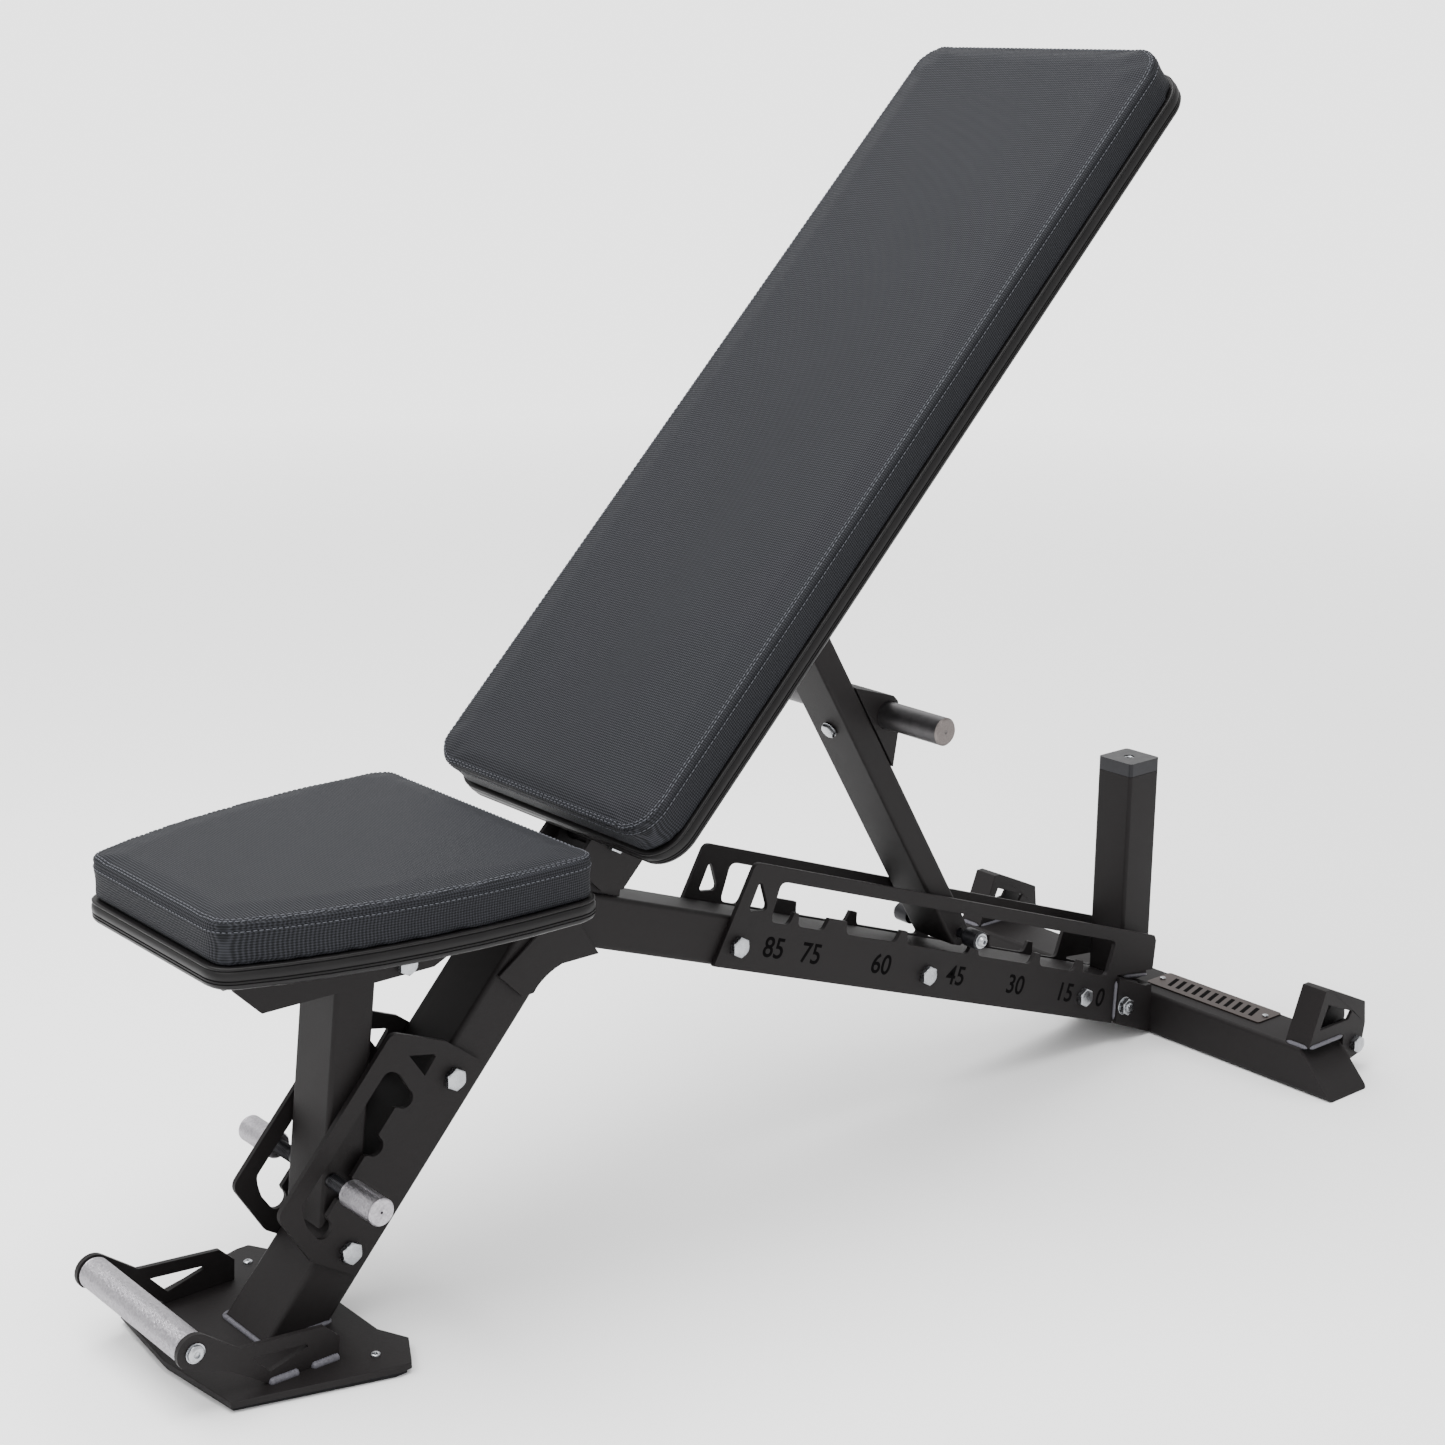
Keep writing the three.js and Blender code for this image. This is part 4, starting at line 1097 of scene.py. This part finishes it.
# The saddle's front edges on the ladder plates, and the foot of the upright.
low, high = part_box("saddle_bracket")
ladder_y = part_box("rear_ladder_near")[0].y
front_edge = [v.co for v in NODES["saddle_bracket"].data.vertices if v.co.x < low.x + 4 * MM]
bottom, top = min(p.z for p in front_edge), max(p.z for p in front_edge)
for sign in (-1, 1):
    y = sign * (abs(ladder_y) + 1.2 * MM)
    frame_bead((low.x, y, bottom + 4 * MM), (low.x + 2 * MM, y, top - 4 * MM), 2 * MM)
low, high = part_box("upright_tube")
for y in (low.y, high.y):
    frame_bead((low.x + 6 * MM, y, low.z + 8 * MM), (high.x - 2 * MM, y, low.z + 1 * MM), 2 * MM)
piece("frame_welds", frame_welds, weld_coat, "frame", crease=60)

# The strut's hub on the strut.
hub = strut_lay.of("strut_hub")
strut_welds = Shell()
for x in (hub.low.x + 1 * MM, hub.high.x - 1 * MM):
    near = Vector((x, hub.low.y + 2 * MM, hub.low.z))
    bead(strut_welds, near, Vector((x, hub.high.y - 2 * MM, hub.low.z)), 1.6 * MM)
piece("strut_welds", strut_welds, powder_coat, "strut", strut_lay.turn, 60)

# %% [markdown]
# ## Underside of the pads
# The cover's cut edges are stapled to the board, and a black nonwoven dust cover hides them. It is one
# thin sheet a little inside the edging, with a row of wire staples near its rim.

# %% Dust covers and staples
nonwoven = surface("nonwoven_dust_cover", "#17171a", 0.9, Specular_IOR_Level=0.2)
fibres = grain(nonwoven, 1.5 * MM, 5)
feed(
    nonwoven,
    Base_Color=between(nonwoven, fibres, "#111113", "#212125"),
    Normal=relief(nonwoven, fibres, 0.2 * MM),
)


COVER_INSET, STAPLE_INSET = 17 * MM, 23 * MM
STAPLE_REACH = 5  # mm each way from the middle of a staple
STAPLE_RADIUS, STAPLE_EVERY = 0.5 * MM, 10


def underside(name, node, cushion_made):
    _, pad_lay, loop, out = cushion_made
    lay, body = pad_lay.of(node), body_of_node(node)
    low = lay.low.z
    heights = (low + 0.5 * MM, low - 0.2 * MM)
    sheet = Shell().lofted([offset_loop(loop, out, -COVER_INSET, height) for height in heights])
    piece(name + "_dust_cover", sheet, nonwoven, body, lay.turn)
    staples = Shell()
    rim = offset_loop(loop, out, -STAPLE_INSET, low - 0.3 * MM)
    for k in range(0, len(rim), STAPLE_EVERY):
        way = (rim[(k + 1) % len(rim)] - rim[k]).normalized() * STAPLE_REACH * MM
        bead(staples, rim[k] - way, rim[k] + way, STAPLE_RADIUS, 4 * MM)
    piece(name + "_staples", staples, zinc_plate, body, lay.turn, 60)


underside("back", "back_board", back_cushion)
underside("seat", "seat_board", seat_cushion)

# %% [markdown]
# ## Angle numbers
# Seven numbers under the pockets tell the angle of the back. They are cut through the plate, and the dark
# tube behind shows in them in shadow, so each one is a dark face just proud of the plate, in painted
# shade.

# %% Numbers on the ladder
ANGLES = ("85", "75", "60", "45", "30", "15", "0")
NUMBER_PLACES = (72, 124, 227, 343, 441, 526, 589)  # mm along the plate, under each pocket's pin
NUMBER_HEIGHT = 21 * MM
NUMBER_LIFT = 17 * MM
FONT_SIZE = NUMBER_HEIGHT * 1.38

ladder = Lay("spine_tube").of("rear_ladder_near")


def number(name, words, spot, size, turn, body):
    curve = bpy.data.curves.new(name, "FONT")
    curve.body, curve.size, curve.extrude = words, size, 0.1 * MM
    curve.align_x, curve.offset = "CENTER", 0.35 * MM
    curve.resolution_u = 6
    text = bpy.data.objects.new(name, curve)
    bpy.context.scene.collection.objects.link(text)
    graph = bpy.context.evaluated_depsgraph_get()
    mesh = bpy.data.meshes.new_from_object(text.evaluated_get(graph))
    bpy.data.objects.remove(text)
    # Painted shade: the face of each number is near black, for the dark tube in shadow behind the cut.
    mesh.materials.clear()
    mesh.materials.append(cut_shadow)
    made = bpy.data.objects.new(name, mesh)
    bpy.context.scene.collection.objects.link(made)
    made.matrix_world = turn @ Matrix.Translation(spot) @ Matrix.Rotation(math.pi / 2, 4, "X")
    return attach(made, body)


for words, along in zip(ANGLES, NUMBER_PLACES):
    spot = Vector((ladder.low.x + along * MM, ladder.low.y, ladder.low.z + NUMBER_LIFT))
    number(f"angle_{words}", words, spot, FONT_SIZE, ladder.turn, "frame")

# %% [markdown]
# ## Thread in the cap, and small screws
# The upright's cap holds a steel insert whose thread shows in its hole. The thread is a tube of rings,
# open at both ends, with its faces turned inwards. Small pan-head screws hold the rubber under the base
# plate.

# %% The thread in the cap
INSERT_RADIUS, INSERT_DEPTH, INSERT_PITCH = 6 * MM, 14 * MM, 1.6 * MM
low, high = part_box("upright_cap")
insert_at = Vector(((low.x + high.x) / 2, (low.y + high.y) / 2, 0))
turns, z = [], high.z - INSERT_DEPTH
while z < high.z - 1.5 * MM:
    turns.append(ring(INSERT_RADIUS - 0.2 * MM, z))
    turns.append(ring(INSERT_RADIUS - 1.3 * MM, z + INSERT_PITCH / 2))
    z += INSERT_PITCH
turns.append(ring(INSERT_RADIUS - 0.2 * MM, z))
insert = Shell().lofted([[insert_at + p for p in one] for one in turns])
insert.faces = [tuple(reversed(face)) for face in insert.faces[:-2]]
piece("cap_thread", insert, zinc_plate, "frame", crease=20)

# %% Base screws
BASE_SCREW_X, BASE_SCREW_Y = -505 * MM, 107 * MM
small = Shell()
low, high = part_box("base_plate")
for y in (-BASE_SCREW_Y, BASE_SCREW_Y):
    at = facing_to(Vector((BASE_SCREW_X, y, high.z)), Vector((0, 0, 1)))
    small.lofted(moved(socket_rings(4.2 * MM, 2.2 * MM, 2.2 * MM, 1.2 * MM, True), at))
piece("base_screws", small, zinc_plate, "frame", crease=CRISP)

# %% [markdown]
# ## Name plate
# The plate is riveted down near its two ends. It carries a plain row of slanted slots in place of any
# lettering.

# %% Rivets and slots of the name plate
SLOTS, SLANT, SLOT_HALF_WIDTH = 11, 7 * MM, 2.6 * MM
MARGIN, SLOT_MARGIN, RIVET_INSET = 17 * MM, 9 * MM, 7 * MM
PLATE_FACE = 1.25 * MM  # from the top of the rivets down to the plate's face

low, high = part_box("name_plate")
slots = Shell()
x0, x1, face_z = low.x + SLOT_MARGIN, high.x - SLOT_MARGIN, high.z - PLATE_FACE
for n in range(SLOTS):
    y = low.y + MARGIN + (high.y - low.y - 2 * MARGIN) * (n + 0.5) / SLOTS
    corners = [
        (x0, y - SLOT_HALF_WIDTH - SLANT / 2),
        (x1, y - SLOT_HALF_WIDTH + SLANT / 2),
        (x1, y + SLOT_HALF_WIDTH + SLANT / 2),
        (x0, y + SLOT_HALF_WIDTH - SLANT / 2),
    ]
    heights = (face_z - 0.3 * MM, face_z + 0.15 * MM)
    slots.lofted([[Vector((*corner, z)) for corner in corners] for z in heights])
rivets = Shell()
dome = [ring(3.4 * MM, 0), ring(3.2 * MM, 0.7 * MM), ring(1.8 * MM, 1.3 * MM)]
for y in (low.y + RIVET_INSET, high.y - RIVET_INSET):
    at = Matrix.Translation(((low.x + high.x) / 2, y, high.z - 0.4 * MM))
    rivets.lofted(moved(dome, at))
piece("name_plate_rivets", rivets, zinc_plate, "frame")
# Painted shade: each slot is a near-black face just proud of the plate, in the painted shade of a cut.
piece("name_plate_slots", slots, cut_shadow, "frame")

# %% [markdown]
# ## Floor and light
# A broad white floor, a bright even surround, and one large soft lamp overhead that throws a faint
# shadow under the bench, as in a product studio. Two weak lamps fill in the front and the rear.

# %% Studio
REACH = 30
corners = [(-REACH, -REACH, 0), (REACH, -REACH, 0), (REACH, REACH, 0), (-REACH, REACH, 0)]
floor_mesh = bpy.data.meshes.new("floor")
floor_mesh.from_pydata(corners, [], [(0, 1, 2, 3)])
floor_paint = surface("matt_white_floor", "#f4f4f4", 0.9)
feed(floor_paint, Base_Color=between(floor_paint, grain(floor_paint, 0.8), "#f8f8f8", "#fcfcfc"))
# Away from the bench the floor fades into the backdrop, so that no line shows where the two meet.
distance = add(floor_paint, "ShaderNodeVectorMath", {0: place(floor_paint)}, operation="LENGTH")["Value"]
far_off = add(
    floor_paint, "ShaderNodeMapRange", {"Value": distance, "From Min": 1.4, "From Max": 5.0}
)["Result"]
clear = add(floor_paint, "ShaderNodeBsdfTransparent")["BSDF"]
painted = floor_paint.node_tree.nodes["Principled BSDF"].outputs["BSDF"]
blend = add(floor_paint, "ShaderNodeMixShader", {0: far_off, 1: painted, 2: clear})["Shader"]
floor_paint.node_tree.links.new(
    blend, floor_paint.node_tree.nodes["Material Output"].inputs["Surface"]
)
floor_mesh.materials.append(floor_paint)
floor = bpy.data.objects.new("floor", floor_mesh)
floor.location.z = -0.5 * MM
bpy.context.scene.collection.objects.link(floor)
floor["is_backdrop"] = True

SURROUND_LIGHT, BACKDROP_BRIGHTNESS = 1.3, 2.8
world = bpy.data.worlds.new("studio")
world.use_nodes = True
surround = world.node_tree.nodes["Background"]
surround.inputs["Color"].default_value = (1, 1, 1, 1)
# The backdrop looks brighter than the light it gives, about as bright as the lit floor.
seen = world.node_tree.nodes.new("ShaderNodeLightPath").outputs["Is Camera Ray"]
strength = world.node_tree.nodes.new("ShaderNodeMapRange")
strength.inputs["To Min"].default_value = SURROUND_LIGHT
strength.inputs["To Max"].default_value = BACKDROP_BRIGHTNESS
world.node_tree.links.new(seen, strength.inputs["Value"])
world.node_tree.links.new(strength.outputs["Result"], surround.inputs["Strength"])
bpy.context.scene.world = world


def lamp(name, power, size, at, towards):
    light = bpy.data.lights.new(name, "AREA")
    light.energy, light.size = power, size
    made = bpy.data.objects.new(name, light)
    made.matrix_world = facing_to(Vector(at), Vector(at) - Vector(towards))
    bpy.context.scene.collection.objects.link(made)


CENTRE = (0, 0, 0.4)
lamp("key", 230, 3.0, (-0.9, 0.1, 3.1), CENTRE)
lamp("fill", 14, 2.2, (-2.5, -2.8, 1.2), CENTRE)
lamp("rim", 14, 1.5, (1.8, 2.0, 2.2), CENTRE)

# %% Sizes and the end
low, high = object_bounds()
print("visual box", [round(v / MM) for v in high - low], "mm")
